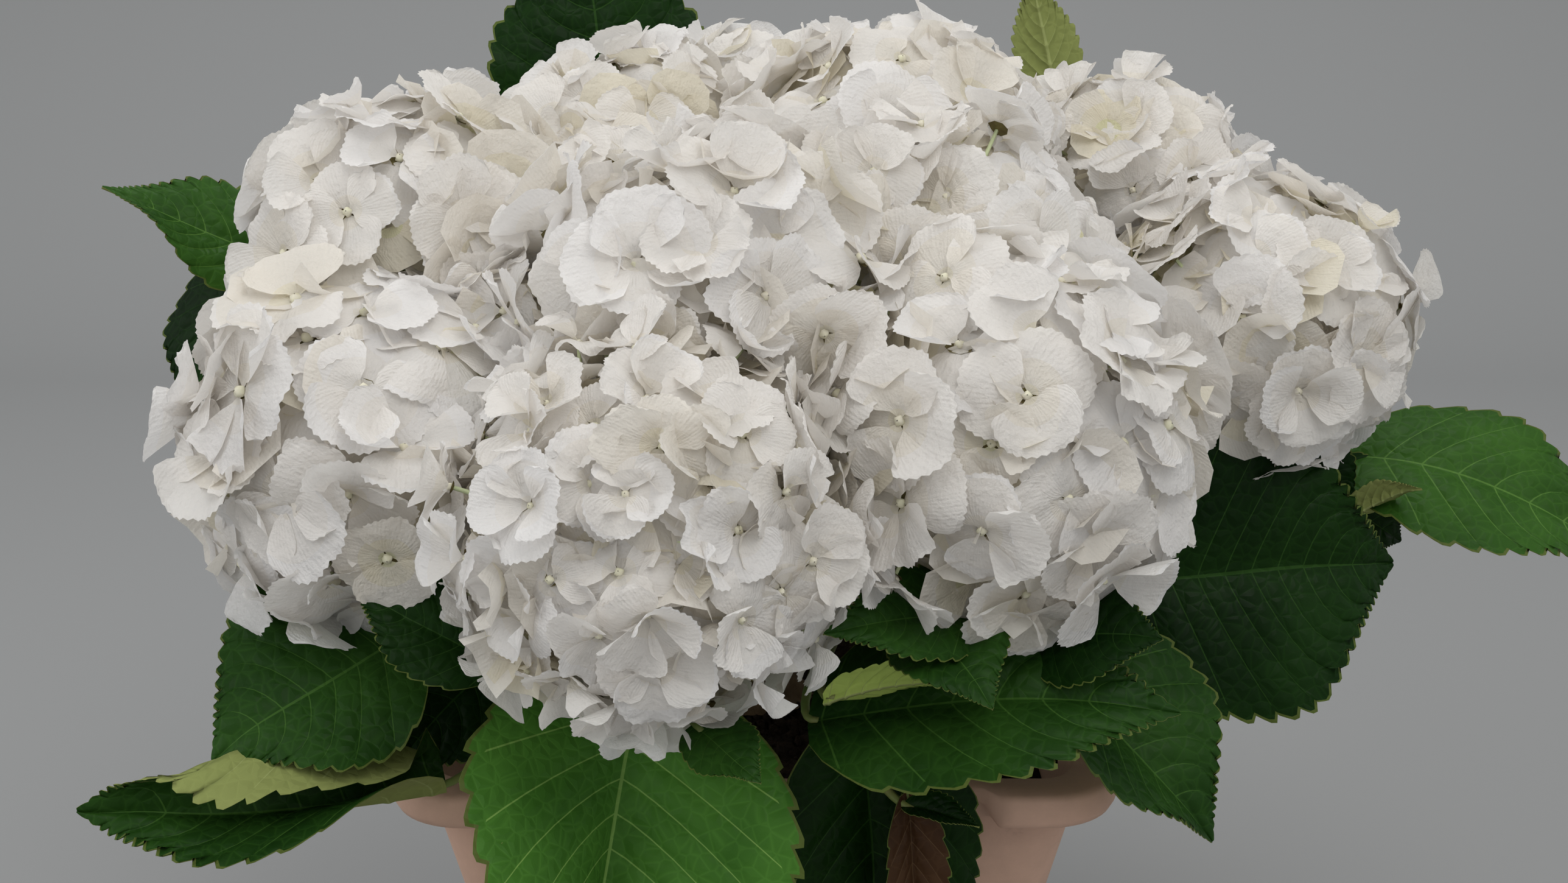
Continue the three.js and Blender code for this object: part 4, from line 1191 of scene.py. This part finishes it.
def outline():
    """Stations round a rounded square: side, place along it, angle round its corner, share of lug."""
    stations = []
    for side in range(4):
        grip = side % 2 == 0
        for step in range(SIDE_STEPS):
            place = -1 + 2 * step / SIDE_STEPS if step else JUST_PAST_CORNER
            near_corner = smooth_step((abs(place) - LUG_START) / (LUG_FULL - LUG_START))
            stations.append((side, place, 0.0, 1.0 if grip else float(near_corner)))
        for step in range(CORNER_STEPS + 1):
            stations.append((side, 1.0, math.pi / 2 * step / CORNER_STEPS, 1.0))
    return stations


OUTLINE = outline()


def square_ring(half, corner, z, lug_reach=0.0, lug_drop=0.0):
    """A ring of that half width, corner radius and height; the grips reach out and hang down."""
    points = []
    flat = half - corner
    for side, place, arc, lug in OUTLINE:
        reach = half + lug * lug_reach
        around = reach - flat
        x = flat + around * math.cos(arc) if place == 1.0 else reach
        y = flat + around * math.sin(arc) if place == 1.0 else flat * place
        turn = math.pi / 2 * side
        points.append((x * math.cos(turn) - y * math.sin(turn),
                       x * math.sin(turn) + y * math.cos(turn), z - lug * lug_drop))
    return np.array(points)


def wall_half(z):
    """The outer half width of the tapered wall at a height."""
    return POT_FOOT_HALF + (POT_TOP_HALF - POT_FOOT_HALF) * z / POT_HEIGHT


def build_planter():
    """One shell: under the floor, up the wall, over the grips and rim, and down inside."""
    drop = LUG_DEPTH - RIM_DEPTH
    under = POT_HEIGHT - RIM_DEPTH
    rim = POT_TOP_HALF + RIM_REACH
    inner_half = POT_TOP_HALF - POT_WALL
    inner_corner = POT_CORNER - POT_WALL
    rings = [(*FLOOR_MIDDLE, 0), (*FLOOR_RING, 0)]
    for inset, corner_inset, z in FOOT_EDGE:
        rings.append((POT_FOOT_HALF - inset, POT_CORNER - corner_inset, z))
    for z in np.linspace(12, under - drop - 2, 14):
        rings.append((wall_half(z), POT_CORNER, z))
    rings.append((wall_half(under - drop), POT_CORNER, under - drop))
    rings.append((wall_half(under) - 0.1, POT_CORNER, under - 0.4, 0, drop * 0.9))
    for inset, rise, less_reach, less_drop in RIM_LOWER_EDGE:
        rings.append((rim - inset, POT_CORNER, under + rise, LUG_REACH - less_reach, drop - less_drop))
    for inset, depth in RIM_UPPER_EDGE:
        rings.append((rim - inset, POT_CORNER, POT_HEIGHT - depth, LUG_REACH))
    rings.append((inner_half + 1.2, inner_corner, POT_HEIGHT))
    rings.append((inner_half, inner_corner, POT_HEIGHT - 1.2))
    for z in np.linspace(POT_HEIGHT - 12, POT_FLOOR + 3, 8):
        rings.append((wall_half(z) - POT_WALL, inner_corner, z))
    rings += [(*FLOOR_RING, POT_FLOOR), (*FLOOR_MIDDLE, POT_FLOOR)]
    pile = Pile()
    pile.add_grids(np.stack([[square_ring(*ring) for ring in rings]]), 0, closed=True)
    make_object("planter_shell", pile, [planter_material()], "planter")


def mound(share):
    """The soil's rise at a share of the way from its middle to the wall."""
    return SOIL_RISE * np.minimum((1 - share) / MOUND_EDGE, 1)


def add_crumbs(pile, rng, wide, high):
    """Loose lumps on the soil, each a squashed and dented ball."""
    place = rng.uniform(-wide * 0.96, wide * 0.96, (CRUMBS, 2))
    size = rng.uniform(*CRUMB_SIZES, CRUMBS)
    angle = np.arange(CRUMB_SIDES) * TURN / CRUMB_SIDES
    ball = np.stack(np.broadcast_arrays(
        np.sin(CRUMB_POLAR)[:, None] * np.cos(angle)[None],
        np.sin(CRUMB_POLAR)[:, None] * np.sin(angle)[None],
        np.cos(CRUMB_POLAR)[:, None]), -1)
    stretch = size[:, None] * rng.uniform(0.6, 1.2, (CRUMBS, 3))
    lumps = ball[None] * stretch[:, None, None, :]
    lumps = lumps * rng.uniform(0.8, 1.2, (CRUMBS, len(CRUMB_POLAR), CRUMB_SIDES, 1))
    share = np.abs(place).max(axis=1) / wide
    ground = high + mound(share) - 0.8
    lumps = lumps + np.concatenate([place, ground[:, None]], 1)[:, None, None, :]
    pile.add_grids(lumps, 0, closed=True, turned=True)


def build_soil():
    """The soil's body with its rough mound, and crumbs on it."""
    rng = np.random.default_rng(SOIL_SEED)
    edge = POT_WALL + CLEAR
    corner = POT_CORNER - edge
    high = POT_HEIGHT - SOIL_DROP
    low = POT_FLOOR + CLEAR
    wide = wall_half(high) - edge
    rings = [square_ring(20, 4, low)]
    for z in (low, high - 20):
        rings.append(square_ring(wall_half(z) - edge, corner, z))
    for share in np.linspace(1, 0.04, 26):
        ring = square_ring(wide * share, max(corner * share, 0.5), high + mound(share))
        rough = np.clip(rng.normal(0, 1, len(ring)), -2, 1.2)
        ring[:, 2] += rough * 1.1 * min((1 - share) * 12, 1) - 1.0
        rings.append(ring)
    pile = Pile()
    pile.add_grids(np.stack([rings]), 0, closed=True)
    add_crumbs(pile, rng, wide, high)
    make_object("soil_crumbs", pile, [SOIL], "soil")


build_heads()
build_foliage()
build_stems()
build_foot()
build_planter()
build_soil()


# Stage, light and camera, in metres

SWEEP_BEND = 1.6
SWEEP_RADIUS = 0.7
SKY_STRENGTH = 0.68
# Each light: place, aim, size, power, colour
LIGHTS = {
    "key": ((0.5, -1.3, 2.0), (0, -0.05, 0.35), 1.4, 13.6, (1.0, 0.985, 0.955)),
    "fill": ((-1.6, -0.9, 1.1), (0, -0.05, 0.35), 1.4, 8, (0.98, 0.985, 1.0)),
    "top": ((0.0, 0.1, 2.2), (0, 0, 0.4), 1.6, 4, (1, 1, 1)),
    "backdrop": ((0.0, 1.0, 2.6), (0, 2.3, 0.3), 1.6, 16, (1, 1, 1)),
}
FOCAL_PIXELS = 3200
IMAGE_WIDTH = 2576
SENSOR = 36.0
CAMERA_TILT = math.radians(15)
CAMERA_TARGET = np.array([12, -80, 367]) * MM
CAMERA_DISTANCE = 0.8
NEAREST = 0.05


def build_stage():
    """A pale floor that bends up into a backdrop."""
    front = -3.0
    top = 4.0
    half = 4.0
    profile = [(front, 0.0), (SWEEP_BEND, 0.0)]
    for angle in np.linspace(0, math.pi / 2, 14)[1:]:
        profile.append((SWEEP_BEND + SWEEP_RADIUS * math.sin(angle),
                        SWEEP_RADIUS - SWEEP_RADIUS * math.cos(angle)))
    profile.append((SWEEP_BEND + SWEEP_RADIUS, top))
    points = [(x, y, z) for y, z in profile for x in (-half, half)]
    faces = [(2 * i, 2 * i + 1, 2 * i + 3, 2 * i + 2) for i in range(len(profile) - 1)]
    mesh = bpy.data.meshes.new("studio_sweep")
    mesh.from_pydata(points, [], faces)
    mesh.polygons.foreach_set("use_smooth", [True] * len(faces))
    sweep = bpy.data.objects.new("studio_sweep", mesh)
    bpy.context.scene.collection.objects.link(sweep)
    material, _, _ = new_material("studio_grey", STUDIO_COLOUR, 0.9, 0.1)
    mesh.materials.append(material)


def add_light(name, at, aim, size, power, colour):
    light = bpy.data.lights.new(name, "AREA")
    light.shape = "DISK"
    light.size = size
    light.energy = power
    light.color = colour
    lamp = bpy.data.objects.new(name, light)
    lamp.location = at
    lamp.rotation_euler = (Vector(aim) - Vector(at)).to_track_quat("-Z", "Y").to_euler()
    bpy.context.scene.collection.objects.link(lamp)


def build_lights():
    """An even pale sky and four soft lamps."""
    world = bpy.data.worlds.new("studio")
    bpy.context.scene.world = world
    world.use_nodes = True
    sky = world.node_tree.nodes["Background"]
    sky.inputs["Color"].default_value = (*SKY_COLOUR, 1)
    sky.inputs["Strength"].default_value = SKY_STRENGTH
    for name, light in LIGHTS.items():
        add_light(name, *light)


def build_camera():
    """The photograph's view: its angle down, its distance and its focal length in pixels."""
    forward = np.array([0, math.cos(CAMERA_TILT), -math.sin(CAMERA_TILT)])
    camera = bpy.data.cameras.new("camera")
    camera.sensor_fit = "HORIZONTAL"
    camera.sensor_width = SENSOR
    camera.lens = SENSOR * FOCAL_PIXELS / IMAGE_WIDTH
    camera.clip_start = NEAREST
    holder = bpy.data.objects.new("camera", camera)
    holder.location = CAMERA_TARGET - forward * CAMERA_DISTANCE
    holder.rotation_euler = (math.pi / 2 - CAMERA_TILT, 0, 0)
    bpy.context.scene.collection.objects.link(holder)
    bpy.context.scene.camera = holder


build_stage()
build_lights()
build_camera()
bpy.context.scene.view_settings.view_transform = "Standard"
